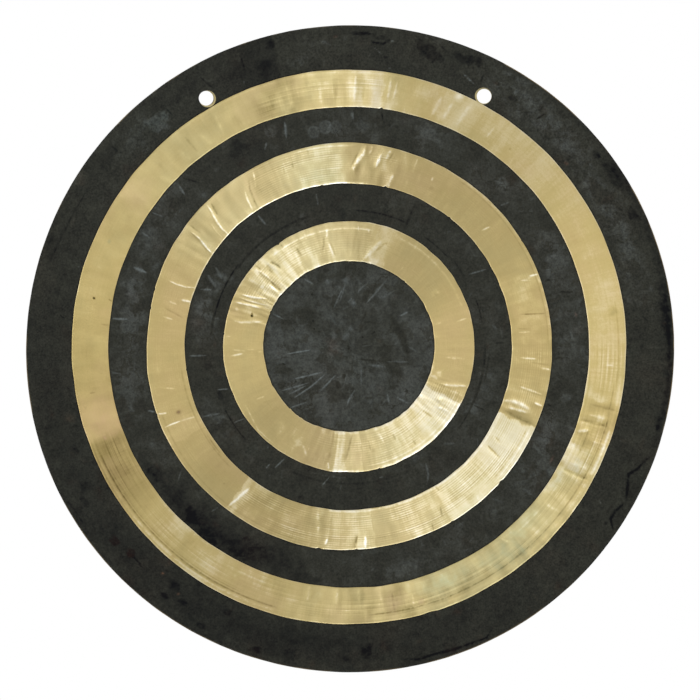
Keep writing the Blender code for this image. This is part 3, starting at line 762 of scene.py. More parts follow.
def share_at(parts, least, direction, blur=PART_BLUR):
    """The most that any of the (from, to, share) parts gives this direction, or the least."""
    share = 0 * direction + least
    for start, end, most in parts:
        turned = np.degrees(turned_from(direction, (start + end) / 2))
        share = np.maximum(share, most * between(turned, start, end, blur, blur))
    return share


def groove_depth_and_glint_at(name, face):
    """How deep a ring's grooves are here, and how strong their painted highlight and shade. They are worn
    away near its edges and in patches.
    """
    low, high = face.reach.min(), face.reach.max()
    across = (face.reach - low) / (high - low)
    middle = smooth_step(across / WORN_INSIDE) * smooth_step((1 - across) / WORN_OUTSIDE)
    left = LEFT_AT_EDGES + (1 - LEFT_AT_EDGES) * middle
    patchy = PATCHY_LEVEL + round_noise(face.direction, face.reach, *GROOVE_PATCHES)
    broken = 1 + round_noise(face.direction, face.reach, *GROOVE_BREAKS)
    sharp = share_at(GROOVE_DEPTH_AND_GLINT_SECTORS[name], LEAST_GROOVE_DEPTH_AND_GLINT, face.direction)
    return sharp * left * np.clip(patchy, 0, PATCHY_MOST) * broken


def edge_offset(index, direction):
    """How far this lathed edge lies outside its circle."""
    offset = waves_at(EDGE_WAVES[index], direction) * MM
    rng = np.random.default_rng(RAGGED_SEED + index)
    for lobes in RAGGED_LOBES:
        height = RAGGED_HEIGHT / sqrt(lobes) * rng.uniform(*RAGGED_SHARES)
        offset = offset + height * np.cos(lobes * direction + rng.uniform(0, tau))
    for edge, way, half_width, outward in EDGE_NICKS:
        if edge == index:
            near = 1 - abs(turned_from(direction, way)) / radians(half_width)
            offset = offset + outward * MM * smooth_step(near)
    return offset


def outward_share(radius):
    """0 at the centre and 1 at the rim, rising with the square of the radius."""
    return (2 * radius / DIAMETER) ** 2


def thickness_at(radius):
    return CENTRE_THICKNESS + (RIM_THICKNESS - CENTRE_THICKNESS) * outward_share(radius)


def dish_at(radius):
    return DISH_DEPTH * outward_share(radius)


def knocks_at(radius, direction):
    depth = 0.0
    for middle, half_length, reach, most in RIM_KNOCKS:
        along = smooth_step(1 - abs(turned_from(direction, middle)) / radians(half_length))
        inward = smooth_step(1 - (DIAMETER / 2 - radius) / reach)
        depth = depth + most * along * inward
    return depth


def lift_at(radius, direction):
    """How far hammering brings this place forward."""
    return waves_at(FACE_WAVES, direction) * outward_share(radius) - knocks_at(radius, direction)


def rim_wear(direction):
    worn = round_noise(direction, MID_CELL, *WORN_RIM)
    chipped = round_noise(direction, MID_CELL, *CHIPPED_RIM)
    return RIM_WEAR * np.clip(0.5 + worn + chipped, 0, 1)


def rim_share(radius):
    """0 on the rings, which share the lathe's centre, and 1 at the rim, which has its own."""
    return smooth_step((radius - EDGES[-1]) / (DIAMETER / 2 - EDGES[-1]))


def across_at(radius, direction):
    """x and z of a place on the plate."""
    outer = rim_share(radius)
    reach = radius + (waves_at(OUTLINE_WAVES, direction) - rim_wear(direction)) * outer
    x = reach * np.sin(direction) + LATHE_CENTRE_X * (1 - outer)
    z = reach * np.cos(direction) + LATHE_CENTRE_Z * (1 - outer)
    return x, z


def plate_middle():
    """How far the plate is moved back so that its depth is centred, as the frame has it."""
    direction = np.radians(np.arange(0, 360, 0.5))
    rim = DIAMETER / 2 - EDGE_BEVEL
    front = -dish_at(rim) - thickness_at(rim) / 2 - lift_at(rim, direction)
    return front.min() - PLATE_BOX[0].y


class Face:
    """Tone, tint and relief, gathered over the points of one zone's face."""

    def __init__(self, x, z, lathed):
        self.x = (x - LATHE_CENTRE_X) / MM
        self.z = (z - LATHE_CENTRE_Z) / MM
        self.lathed = lathed
        self.direction = np.arctan2(self.x, self.z)
        self.reach = np.hypot(self.x, self.z)
        self.tone = np.zeros_like(x)
        self.tint = np.zeros_like(x)
        self.relief = np.zeros_like(x)
        self.warp = [plate_noise(self.x, self.z, layers) for layers in WARP_LAYERS]
        self.mottled = plate_noise(self.x, self.z, MOTTLE_LAYERS)

    def columns_near(self, degrees, half_width):
        """The columns of points that lie within a half width in degrees of a direction."""
        middle = self.direction[len(self.direction) // 2]
        return np.nonzero(abs(turned_from(middle, degrees)) < radians(half_width))[0]

    def away_from(self, way, reach, cols):
        x, z = reach * sin(radians(way)), reach * cos(radians(way))
        return np.hypot(self.x[:, cols] - x, self.z[:, cols] - z)

    def colour(self, cols, strength, tone, tint):
        self.tone[:, cols] += tone * strength
        self.tint[:, cols] += tint * strength

    def broken(self, cols):
        """How strong a line is, where the mottling breaks it up."""
        return np.clip(1 + LINE_BREAKS * self.mottled[:, cols], *BREAK_LIMITS)

    def line(self, cols, tone, width, strength, swell):
        """A line's tone, which is painted highlight or shade on a lathed ring, and its wider relief: a
        bright one stands up and a dark one goes in.
        """
        rise = CREASE_RISE if self.lathed else SCRATCH_RISE
        share = CREASE_HIGHLIGHT_AND_SHADE if self.lathed else SCRATCH_TONE
        self.tone[:, cols] += tone * share * strength
        self.relief[:, cols] += rise * tone * min(width, WIDEST_RISE) * swell

    def stroke(self, tone, width, *places):
        """A soft line through places, which tapers at its ends."""
        ways = [way for way, _ in places]
        least = min(reach for _, reach in places)
        margin = degrees_wide(2 * SWELL * width, least) + STROKE_MARGIN
        cols = self.columns_near((min(ways) + max(ways)) / 2, (max(ways) - min(ways)) / 2 + margin)
        x, z = self.x[:, cols], self.z[:, cols]
        points = [(reach * sin(radians(way)), reach * cos(radians(way))) for way, reach in places]
        steps = [np.hypot(b[0] - a[0], b[1] - a[1]) for a, b in zip(points, points[1:])]
        total = sum(steps)
        passed = 0.0
        strength = np.zeros_like(x)
        swell = np.zeros_like(x)
        for (start, end), length in zip(zip(points, points[1:]), steps):
            run_x, run_z = (end[0] - start[0]) / length, (end[1] - start[1]) / length
            along = np.clip((x - start[0]) * run_x + (z - start[1]) * run_z, 0, length)
            away = np.hypot(x - start[0] - along * run_x, z - start[1] - along * run_z)
            share = (passed + along) / total
            taper = smooth_step(np.minimum(share, 1 - share) / END_PART + END_FADE)
            lens = width * (END_WIDTH + (1 - END_WIDTH) * np.sin(pi * share))
            strength = np.maximum(strength, np.exp(-((away / lens) ** 2)) * taper)
            swell = np.maximum(swell, np.exp(-((away / lens / SWELL) ** 2)) * taper)
            passed += length
        self.line(cols, tone, width, strength * self.broken(cols), swell)

    def patch(self, tone, way, reach, half_way, half_reach, tint=0.0, soft=False):
        """An irregular, mottled spot: soft on a ring or where it is bright or wide, or else crisp."""
        cols = self.columns_near(way, PATCH_SPREAD * half_way + COLUMN_MARGIN)
        warped = min(1.0, half_reach / WARPED_FROM, WARPED_TO / half_reach)
        turned = turned_from(self.direction[:, cols], way) / radians(half_way)
        out = (self.reach[:, cols] - reach) / half_reach
        away = np.hypot(turned + warped * self.warp[0][:, cols], out + warped * self.warp[1][:, cols])
        mottled = self.mottled[:, cols]
        if soft or self.lathed or tone > 0 or max(half_reach, half_way) > WIDE_PATCH:
            strength = np.exp(-SOFT_FALL * away**2) * (1 + SOFT_MOTTLE * mottled)
        else:
            strength = smooth_step((CRISP_EDGE - away) * CRISP_FALL + 0.5) * (1 + CRISP_MOTTLE * mottled)
        self.colour(cols, strength, tone, tint)

    def sector(self, tone, start, end, rise, fall, tint=0.0):
        middle = (start + end) / 2
        cols = self.columns_near(middle, (end - start) / 2 + max(rise, fall))
        turned = np.degrees(turned_from(self.direction[:, cols], middle))
        turned += SECTOR_WARP * self.warp[0][:, cols]
        self.colour(cols, between(turned, start, end, rise, fall), tone, tint)

    def arc(self, tone, width, reach, start, end):
        middle = (start + end) / 2
        cols = self.columns_near(middle, (end - start) / 2 + COLUMN_MARGIN)
        turned = np.degrees(turned_from(self.direction[:, cols], middle))
        within = between(turned, start, end, ARC_BLUR, ARC_BLUR)
        strength = np.exp(-(((self.reach[:, cols] - reach) / width) ** 2)) * within * self.broken(cols)
        self.line(cols, tone, width / 2, strength, strength)

    def dimple(self, tone, rise, way, reach, radius):
        bowl = np.exp(-PIT_FALL * (self.away_from(way, reach, slice(None)) / radius) ** 2)
        self.tone += tone * bowl
        self.relief += rise * MM * bowl

    def peen_mark(self, tone, way, reach, radius):
        cols = self.columns_near(way, PEEN_COLUMNS)
        away = self.away_from(way, reach, cols)
        ring = np.exp(-(((away - radius) / PEEN_RING) ** 2))
        inside = smooth_step((radius - away) / PEEN_BLUR)
        self.tone[:, cols] += tone * (ring + PEEN_INSIDE * inside)
        self.relief[:, cols] += PEEN_RISE * (ring - inside)


def add_hairlines(face, name, seed):
    """Random fine lines: short scratches on the scale, and radial ones across a lathed ring."""
    count, longest, most = HAIRLINES[name]
    rng = np.random.default_rng(seed)
    low, high = face.reach.min(), face.reach.max()
    for _ in range(count):
        reach = rng.uniform(low + 1, high - 1)
        way = rng.uniform(0, 360)
        length = longest * rng.uniform(*HAIRLINE_LENGTHS)
        lean = rng.normal(0, RING_LEAN) if face.lathed else rng.uniform(-SCALE_LEAN, SCALE_LEAN)
        end = reach + min(length * cos(lean), high - reach)
        tone = most * rng.uniform(*HAIRLINE_TONES) * rng.choice(DARK_OR_BRIGHT)
        width = rng.uniform(*HAIRLINE_WIDTHS)
        if reach > LEAST_REACH:
            face.stroke(tone, width, (way, reach), (way + degrees_wide(length * sin(lean), end), end))


def add_smudges(face, name, seed):
    """Random soft marks, longer than they are wide or the reverse, darker or lighter than the rest."""
    count, longest, most = SMUDGES[name]
    rng = np.random.default_rng(seed)
    low, high = face.reach.min(), face.reach.max()
    for _ in range(count):
        reach = rng.uniform(max(low, LEAST_REACH), high)
        half_reach = longest * rng.uniform(*SMUDGE_SIZES)
        half_way = degrees_wide(longest * rng.uniform(*SMUDGE_SIZES), reach)
        tone = most * rng.uniform(*SMUDGE_TONES)
        tint = rng.normal(0, SMUDGE_TINT)
        face.patch(tone, rng.uniform(0, 360), reach, half_way, half_reach, tint, soft=True)


def add_marks(face, name):
    """The marks that the photograph shows on a zone's front."""
    for table, draw in (
        (PATCHES, face.patch),
        (SECTORS, face.sector),
        (STROKES, face.stroke),
        (ARCS, face.arc),
        (DIMPLES, face.dimple),
        (PEEN_MARKS, face.peen_mark),
    ):
        for mark in table.get(name, ()):
            draw(*mark)


def wear_and_painted_light(x, z, front_rows, name, index):
    """The tone, tint and relief of a zone's points: wear, and on the rings' fronts painted highlight and
    shade. The photograph doesn't show the back, which has the front's kinds of wear in other places."""
    parts = (slice(front_rows), slice(front_rows, None))
    faces = [Face(x[part], z[part], name in GROOVES) for part in parts]
    add_marks(faces[0], name)
    for back, face in enumerate(faces):
        seed = ZONE_SEED + SEEDS_APART * index + back
        face.tone += ZONE_TONES.get(name, 0.0)
        add_smudges(face, name, seed + 2)
        add_hairlines(face, name, seed)
    return {
        mark: np.concatenate([getattr(face, mark) for face in faces])
        for mark in ("tone", "tint", "relief")
    }


Rows = namedtuple("Rows", "radius side cut groove")


def lathed_rows(inner, outer, side, step, rows_per_groove):
    """Rows of one lathed face: down the cut's slope, across the grooves and up again."""
    low = inner + LATHE_SLOPE
    high = outer - LATHE_SLOPE
    count = round((high - low) / step / rows_per_groove) * rows_per_groove
    rng = np.random.default_rng(round(inner / MM) + side)
    rows = [(inner, side, 0.0, 0.0)]
    depth = 0.0
    for row in range(count + 1):
        phase = row % rows_per_groove
        if phase == 0:
            depth = rng.uniform(*GROOVE_DEPTHS)
        height = depth * (phase / (rows_per_groove - 1) - 0.5)
        rows.append((low + (high - low) * row / count, side, LATHE_CUT, height))
    rows.append((outer, side, 0.0, 0.0))
    return rows


def plain_rows(inner, outer, side, step):
    """Even rows, with one close to each edge."""
    count = ceil((outer - inner) / step)
    reaches = [inner + (outer - inner) * row / count for row in range(count + 1)]
    reaches.insert(1, inner + step * EDGE_ROW)
    reaches.insert(-1, outer - step * EDGE_ROW)
    return [(reach, side, 0.0, 0.0) for reach in reaches]


def bevel_rows():
    """Rows round the rim's edge from front to back."""
    turns = [pi / 2 * step / BEVEL_STEPS for step in range(1, BEVEL_STEPS + 1)]
    rows = []
    for side in (1, -1):
        for turned in turns[::side]:
            radius = DIAMETER / 2 - EDGE_BEVEL * (1 - sin(turned))
            rows.append((radius, side, EDGE_BEVEL * (1 - cos(turned)), 0.0))
    return rows


def zone_rows(index):
    """The rows of points of a zone's section, out along the front and back in along the back."""
    zone = ZONES[index]
    inner = EDGES[index - 1] if index else 0.0
    last = index == len(ZONES) - 1
    outer = DIAMETER / 2 - EDGE_BEVEL if last else EDGES[index]
    if zone.name in GROOVES:
        front = lathed_rows(inner, outer, 1, zone.front_step, GROOVES[zone.name][0])
        back = lathed_rows(inner, outer, -1, zone.back_step, BACK_GROOVE_ROWS)
    else:
        front = plain_rows(inner, outer, 1, zone.front_step)
        back = plain_rows(inner, outer, -1, zone.back_step)
    if last:
        front += bevel_rows()
    rows = np.array(front + back[::-1])
    return Rows(*(rows[:, column : column + 1] for column in range(4)))


def near_edges(index, radius, reach):
    """Each lathed edge of a zone, and how near the rows are: 1 on it and 0 from this reach on."""
    for edge in (index - 1, index):
        if 0 <= edge < len(EDGES):
            yield edge, smooth_step(1 - abs(radius - EDGES[edge]) / reach)


def follow_edges(index, radius, direction):
    """The rows near a lathed edge follow its wandering line."""
    moved = radius + 0 * direction
    for edge, near in near_edges(index, radius, EDGE_REACH):
        moved = moved + edge_offset(edge, direction) * near
    return moved


def edge_lines(index, radius, direction):
    """Painted shadow on the scale and painted highlight on the metal, along the lathed edges."""
    most = EDGE_HIGHLIGHT_TONE if ZONES[index].name in GROOVES else EDGE_SHADOW_TONE
    tone = 0 * (radius + direction)
    for edge, near in near_edges(index, radius, EDGE_LINE):
        tone = tone + most * near * (1 + round_noise(direction, edge + MID_CELL, *UNEVEN_EDGE))
    return tone


def hammer_marks(face, creased):
    """Low dents all over the plate, which show on both faces."""
    drawn = round_noise(face.direction + DENT_WARP * face.warp[0], face.reach, *DRAWN_DENTS)
    folds = round_noise(face.direction + DENT_WARP * face.warp[1], face.reach, *CREASE_DENTS)
    return (plate_noise(face.x, face.z, DENT_LAYERS) + drawn + folds * creased) * MM


def crease_highlights_and_shade(face, creased):
    """Painted highlight and painted shade in soft bands along the radius, where a ring is creased."""
    around = face.direction + CREASE_WARP * face.warp[1]
    wide = round_noise(around, face.reach, *WIDE_CREASE_SHADING)
    return creased * (wide + round_noise(around, face.reach, *NARROW_CREASE_SHADING))


def bare_edge(face, radius):
    """Bare metal along the worn edge of the rim."""
    near = smooth_step((radius - DIAMETER / 2 + BARE_REACH) / BARE_RISE)
    worn = share_at(BARE_EDGES, 0.0, face.direction, BARE_BLUR)
    patchy = round_noise(face.direction, face.reach, *BARE_PATCHES)
    return near * smooth_step(BARE_GAIN * worn + patchy - BARE_LEVEL)


def busy_ways(name):
    """Directions, with half widths in degrees, where a zone's columns of points stand closer."""
    for _, width, *places in STROKES.get(name, ()):
        for (way, reach), (next_way, next_reach) in zip(places, places[1:]):
            half = abs(next_way - way) / 2
            if half < RADIAL_STROKE:
                margin = degrees_wide(BUSY_WIDTH * width, min(reach, next_reach))
                yield (way + next_way) / 2, half + margin
    for _, start, end, rise, fall, *_ in SECTORS.get(name, ()):
        for way, change in ((start, rise), (end, fall)):
            if change < SHARP_CHANGE:
                yield way, change


def column_directions(zone):
    """The direction of each column of points, in one row."""
    degrees = np.arange(0, 360, COLUMN_STEP)
    density = np.ones_like(degrees)
    for way, half in busy_ways(zone.name):
        away = abs((degrees - way + 180) % 360 - 180)
        density += (CLOSER_COLUMNS - 1) * (away < half) * (density < CLOSER_COLUMNS)
    passed = np.append(0, np.cumsum(density))
    even = np.arange(zone.segments) / zone.segments * passed[-1]
    return np.radians(np.interp(even, passed, np.append(degrees, 360)))[None, :]


def make_zone(index, middle):
    """One zone of the plate as a closed piece: its front and back are the plate's own surfaces."""
    zone = ZONES[index]
    rows = zone_rows(index)
    direction = column_directions(zone)
    radius = follow_edges(index, rows.radius, direction)
    x, z = across_at(radius, direction)
    whole = Face(x, z, zone.name in GROOVES)
    marks = wear_and_painted_light(x, z, np.count_nonzero(rows.side > 0), zone.name, index)
    marks["tone"] += edge_lines(index, rows.radius, direction)
    marks["bare"] = bare_edge(whole, radius) if index == len(ZONES) - 1 else 0 * x
    marks["grooved"] = groove_depth_and_glint_at(zone.name, whole) if whole.lathed else 0 * x
    creased = share_at(CREASED.get(zone.name, ()), LEAST_CREASED, whole.direction)
    depth = thickness_at(radius) / 2 - rows.cut + marks["relief"]
    if whole.lathed:
        groove_depth, groove_shade = GROOVES[zone.name][1:]
        groove = rows.groove * marks["grooved"]
        depth = depth - groove * groove_depth
        # Painted highlight and shade: bands along the creases, and the grooves' dark hollows and bright
        # crests
        marks["tone"] += crease_highlights_and_shade(whole, creased) - groove * groove_shade
    forward = dish_at(radius) + lift_at(radius, direction) + hammer_marks(whole, creased)
    y = np.clip(-forward - rows.side * depth - middle, PLATE_BOX[0].y, PLATE_BOX[1].y)
    return build_mesh(zone.name, np.stack([x, y, z], axis=-1), marks, disc=index == 0)


def build_mesh(name, points, marks, disc):
    """A closed mesh from rows of points round the plate, with each row's points in step."""
    row_count, segments, _ = points.shape
    index = np.arange(row_count * segments).reshape(row_count, segments)
    pairs = [(row, row + 1) for row in range(row_count - 1)]
    if not disc:
        pairs.append((row_count - 1, 0))
    quads = [
        np.stack([index[low], np.roll(index[low], -1), np.roll(index[high], -1), index[high]], axis=1)
        for low, high in pairs
    ]
    mesh = bpy.data.meshes.new(name)
    mesh.from_pydata(points.reshape(-1, 3).tolist(), [], np.concatenate(quads).tolist())
    for mark in ("tone", "tint", "bare", "grooved"):
        attribute = mesh.attributes.new(mark, "FLOAT", "POINT")
        attribute.data.foreach_set("value", marks[mark].astype(np.float32).ravel())
    if disc:
        bm = bmesh.new()
        bm.from_mesh(mesh)
        bmesh.ops.remove_doubles(bm, verts=bm.verts, dist=MERGE_DISTANCE)
        bm.to_mesh(mesh)
        bm.free()
    piece = link_object(name, mesh)
    mesh.shade_smooth()
    mesh.set_sharp_from_angle(angle=SHARP_ANGLE)
    return piece


def link_object(name, data):
    made = bpy.data.objects.new(name, data)
    bpy.context.scene.collection.objects.link(made)
    return made


def toward(degrees):
    """The unit vector in the plate's plane in a direction."""
    return Vector((sin(radians(degrees)), 0, cos(radians(degrees))))


def hole_frame(hole, middle):
    """A hole's place in the middle of the plate's thickness, and the plate's front normal there."""
    way = toward(hole.direction)
    radius = DIAMETER / 2 - hole.inset
    turned = way * radius - Vector((LATHE_CENTRE_X, 0, LATHE_CENTRE_Z)) * (1 - rim_share(radius))
    from_top = np.arctan2(turned.x, turned.z)
    depth = -dish_at(turned.length) - lift_at(turned.length, from_top) - middle
    slope = 8 * DISH_DEPTH * radius / DIAMETER**2
    front = (Vector((0, -1, 0)) - way * slope).normalized()
    return way * radius + Vector((0, float(depth), 0)), front


def add_cutter(name, place, front, narrow, wide, length, wall, floor):
    """A cone whose narrow end points into the plate, with its wall's and its end's materials."""
    bm = bmesh.new()
    bmesh.ops.create_cone(
        bm,
        cap_ends=True,
        segments=CUTTER_SEGMENTS,
        radius1=narrow,
        radius2=wide,
        depth=length,
    )
    for face in bm.faces:
        face.material_index = int(len(face.verts) > 4)
    mesh = bpy.data.meshes.new(name)
    bm.to_mesh(mesh)
    bm.free()
    mesh.materials.append(wall)
    mesh.materials.append(floor)
    cutter = link_object(name, mesh)
    cutter.location = place
    cutter.rotation_mode = "QUATERNION"
    cutter.rotation_quaternion = front.to_track_quat("Z", "X")
    return cutter


def hole_cutters(hole, middle, bored, countersunk):
    place, front = hole_frame(hole, middle)
    thickness = float(thickness_at(DIAMETER / 2 - hole.inset))
    bore = HOLE_DIAMETER / 2
    length = thickness + 2 * CUTTER_MARGIN
    bore_cutter = add_cutter("bore", place, front, bore, bore, length, bored, bored)
    aside = toward(hole.offset_direction)
    aside = (aside - front * aside.dot(front)).normalized() * hole.offset
    mouth = COUNTERSINK_DIAMETER / 2
    tip = COUNTERSINK_TIP_DIAMETER / 2
    slope = (mouth - tip) / COUNTERSINK_DEPTH
    length = COUNTERSINK_DEPTH + CUTTER_MARGIN
    centre = place + aside + front * (thickness / 2 + CUTTER_MARGIN - length / 2)
    wide = mouth + slope * CUTTER_MARGIN
    return bore_cutter, add_cutter("countersink", centre, front, tip, wide, length, countersunk, bored)


def cut_holes(pieces, middle):
    bored = drilled_bronze("bored_bronze", BORED, BORED_ROUGHNESS)
    countersunk = drilled_bronze("countersunk_bronze", COUNTERSUNK, COUNTERSUNK_ROUGHNESS)
    for hole in HOLES:
        cutters = hole_cutters(hole, middle, bored, countersunk)
        for name in hole.zones:
            piece = pieces[name]
            for cutter in cutters:
                cut = piece.modifiers.new(cutter.name, "BOOLEAN")
                cut.operation = "DIFFERENCE"
                cut.solver = "EXACT"
                cut.material_mode = "TRANSFER"
                cut.object = cutter
            apply_modifiers(piece)
        for cutter in cutters:
            bpy.data.objects.remove(cutter, do_unlink=True)


def apply_modifiers(piece):
    graph = bpy.context.evaluated_depsgraph_get()
    mesh = bpy.data.meshes.new_from_object(piece.evaluated_get(graph))
    piece.modifiers.clear()
    old = piece.data
    piece.data = mesh
    bpy.data.meshes.remove(old)
    mesh.name = piece.name


# Bright and pale bronze serve brighter metal and painted highlights; tarnish serves tarnish and painted
# shade.
BRIGHT_BRONZE = (0.56, 0.447, 0.200, 1)
PALE_HIGHLIGHT_BRONZE = (0.89, 0.84, 0.66, 1)
TARNISH_AND_SHADE = (0.20, 0.150, 0.048, 1)
PINK_BRONZE = (0.56, 0.37, 0.22, 1)
OLIVE_BRONZE = (0.33, 0.33, 0.17, 1)
RING_BRONZES = {
    "inner_ring": (0.466, 0.365, 0.159, 1),
    "middle_ring": (0.449, 0.349, 0.149, 1),
    "outer_ring": (0.487, 0.381, 0.155, 1),
}
RING_ROUGHNESS = {"inner_ring": 0.37, "middle_ring": 0.36, "outer_ring": 0.38}
WORN_EDGE = (0.16, 0.12, 0.06, 1)
BORED = (0.10, 0.08, 0.045, 1)
BORED_ROUGHNESS = 0.4
COUNTERSUNK = (0.42, 0.35, 0.17, 1)
COUNTERSUNK_ROUGHNESS = 0.35

SCALE = (0.0268, 0.0263, 0.0172, 1)
BRIGHT_SCALE = (0.044, 0.0445, 0.033, 1)
PALE_SCALE = (0.105, 0.115, 0.098, 1)
# Black for pits and the darkest scale, and for painted shade along the lathed edges and in dark creases
SOOT_AND_SHADE = (0.001, 0.001, 0.001, 1)
RUST = (0.13, 0.055, 0.025, 1)
GREEN_SCALE = (0.030, 0.042, 0.030, 1)
TINT_SHARE = 0.6
# A surface is at its brightest colour at this tone, and goes on from there to its pale one.
BRIGHT_TONE = 0.25

# Noise in the metal: (cells to the metre, detail, roughness)
METAL_NOISE = {"mottle": (70, 4, 0.6), "grain": (900, 2, 0.5), "cloud": (22, 2, 0.5)}
# Noise drawn round the lathe's centre: (times the unit vector, cells to the metre of reach, detail)
DRAWN_NOISE = {
    "fine_lines": (5, 1500, 2),
    "lines": (2.5, 420, 2),
    "rays": (40, 16, 3),
    "hatch": (150, 60, 2),
}
# How much each adds to the tone of the grooves, which is painted highlight and painted shade, and to the
# metal's tone, tint and roughness
LATHED_WEIGHTS = {"fine_lines": 0.75, "lines": 0.25, "hatch": 0.35}
METAL_TONES = {
    "tone": 1.0,
    "lathed": 1.0,
    "fine_lines": 0.07,
    "lines": 0.07,
    "rays": 0.20,
    "hatch": 0.08,
    "mottle": 0.18,
    "grain": 0.22,
}
METAL_TINTS = {"tint": 1.0, "cloud": 1.0, "mottle": 0.5}
METAL_ROUGHNESS = {"lines": 0.10, "mottle": 0.08, "tone": -0.06}
# Bumps: (strength, height)
METAL_BUMP = (0.25, 0.04 * MM)
# Grooves run round the lathe's centre, so highlights spread across them.
ANISOTROPY = 0.95
QUARTER_TURN = 0.25

# Noise in the scale: (cells to the metre, detail, roughness)
SCALE_NOISE = {
    "cloud": (24, 3, 0.5),
    "mottle": (85, 4, 0.6),
    "fleck": (350, 2, 0.5),
    "grain": (800, 2, 0.5),
    "blotch": (60, 5, 0.62),
    "crack": (42, 4, 0.55),
}
# Where blotches and veins start and are full, as the noise rises
BLOTCHED = (0.05, 0.08)
VEINED = (0.0, 0.12)
VEIN_WIDTH = 0.014
# What each adds to the scale's tone, tint, shade, roughness and relief
SCALE_TONES = {"tone": 1.0, "cloud": 0.42, "mottle": 0.38, "fleck": 0.10, "blotch": -0.12, "vein": -0.25}
SCALE_TINTS = {"tint": 1.0, "cloud": 0.15}
SCALE_SHADES = {"fleck": 0.5, "grain": 1.3, "mottle": 0.5}
SCALE_GRAIN = {"centre_disc": 1.0, "inner_band": 1.05, "outer_band": 1.05, "rim_band": 1.4}
SCALE_ROUGHNESS = {"mottle": 0.20, "grain": 0.20, "bare": -0.1}
SCALE_HEIGHTS = {"mottle": 1.0, "fleck": 0.5, "grain": 0.4}
SCALE_BUMP = (0.3, 0.2 * MM)
DULL = 0.50
SCALE_SHINE = 0.07

# Noise in a hole's metal, how much of it is darker and by how much, and its part in the roughness
HOLE_NOISE = (900, 3)
HOLE_DARK_SHARE = 2.0
HOLE_DARKER = 0.4
HOLE_ROUGHNESS = 0.3


def feed(node, inputs):
    """Links each named or numbered input to a socket, or sets it to a number or a colour."""
    for name, value in inputs.items():
        if isinstance(value, bpy.types.NodeSocket):
            node.id_data.links.new(value, node.inputs[name])
        else:
            node.inputs[name].default_value = value


def add_node(tree, kind, *values, inputs=(), **settings):
    """A node with these values for its first inputs, and for the ones that inputs names."""
    node = tree.nodes.new("ShaderNode" + kind)
    for name, value in settings.items():
        setattr(node, name, value)
    feed(node, dict(enumerate(values)) | dict(inputs))
    return node


def calculate(tree, operation, *values, clamp=False):
    return add_node(tree, "Math", *values, operation=operation, use_clamp=clamp).outputs[0]


def vector_math(tree, operation, *values):
    node = add_node(tree, "VectorMath", *values, operation=operation)
    return node.outputs["Value" if operation == "LENGTH" else "Vector"]


def scaled(tree, vector, scale):
    node = add_node(tree, "VectorMath", vector, inputs={"Scale": scale}, operation="SCALE")
    return node.outputs["Vector"]


def rising(tree, value, start, end):
    """0 below start, 1 above end, and a smooth rise between."""
    inputs = {"Value": value, "From Min": start, "From Max": end}
    node = add_node(tree, "MapRange", inputs=inputs, interpolation_type="SMOOTHSTEP")
    return node.outputs["Result"]


def mix_colour(tree, share, first, second):
    return add_node(tree, "MixRGB", share, first, second).outputs[0]


def read_mark(tree, name):
    return add_node(tree, "Attribute", attribute_name=name).outputs["Fac"]


def noise(tree, vector, scale, detail, rough=0.5):
    """Noise about zero, seldom beyond a quarter, at this scale in cells to the metre or to the unit."""
    inputs = {"Vector": vector, "Scale": scale, "Detail": detail, "Roughness": rough}
    node = add_node(tree, "TexNoise", inputs=inputs)
    return calculate(tree, "SUBTRACT", node.outputs["Fac"], 0.5)


def drawn_noise(tree, where):
    """Noise that changes slowly round the plate and fast along its radius, or the reverse."""
    from_centre = vector_math(tree, "SUBTRACT", where, (LATHE_CENTRE_X, 0, LATHE_CENTRE_Z))
    flat = vector_math(tree, "MULTIPLY", from_centre, (1, 0, 1))
    unit = vector_math(tree, "NORMALIZE", flat)
    reach = vector_math(tree, "LENGTH", flat)
    drawn = {}
    for name, (round_scale, reach_scale, detail) in DRAWN_NOISE.items():
        outward = calculate(tree, "MULTIPLY", reach, reach_scale)
        outward = add_node(tree, "CombineXYZ", inputs={"Y": outward}).outputs[0]
        place = vector_math(tree, "ADD", scaled(tree, unit, round_scale), outward)
        drawn[name] = noise(tree, place, 1, detail)
    return drawn


def weigh(tree, weights, parts, total=0.0):
    """The sum of the named parts times their weights, and of a first term."""
    for name, weight in weights.items():
        total = calculate(tree, "MULTIPLY_ADD", parts[name], weight, total)
    return total


def toned(tree, parts, plain, bright, pale, dark, warm, cool):
    """A colour that goes from plain to bright and pale, or to dark and black, by the tone in parts,
    and warm or cool by the tint."""
    colour = plain
    for mark, times, plus, other in (
        ("tone", 1 / BRIGHT_TONE, 0.0, bright),
        ("tone", 1.0, -BRIGHT_TONE / 2, pale),
        ("tone", -1.0, 0.0, dark),
        ("tone", -1.0, -1.0, SOOT_AND_SHADE),
        ("tint", TINT_SHARE, 0.0, warm),
        ("tint", -TINT_SHARE, 0.0, cool),
    ):
        share = calculate(tree, "MULTIPLY_ADD", parts[mark], times, plus, clamp=True)
        colour = mix_colour(tree, share, colour, other)
    return colour


def bump(tree, height, strength, distance):
    inputs = {"Strength": strength, "Distance": distance, "Height": height}
    return add_node(tree, "Bump", inputs=inputs).outputs["Normal"]


def new_material(name):
    """A material, its node tree, its shader and the object coordinates."""
    material = bpy.data.materials.new(name)
    material.use_nodes = True
    tree = material.node_tree
    return material, tree, tree.nodes["Principled BSDF"], add_node(tree, "TexCoord").outputs["Object"]


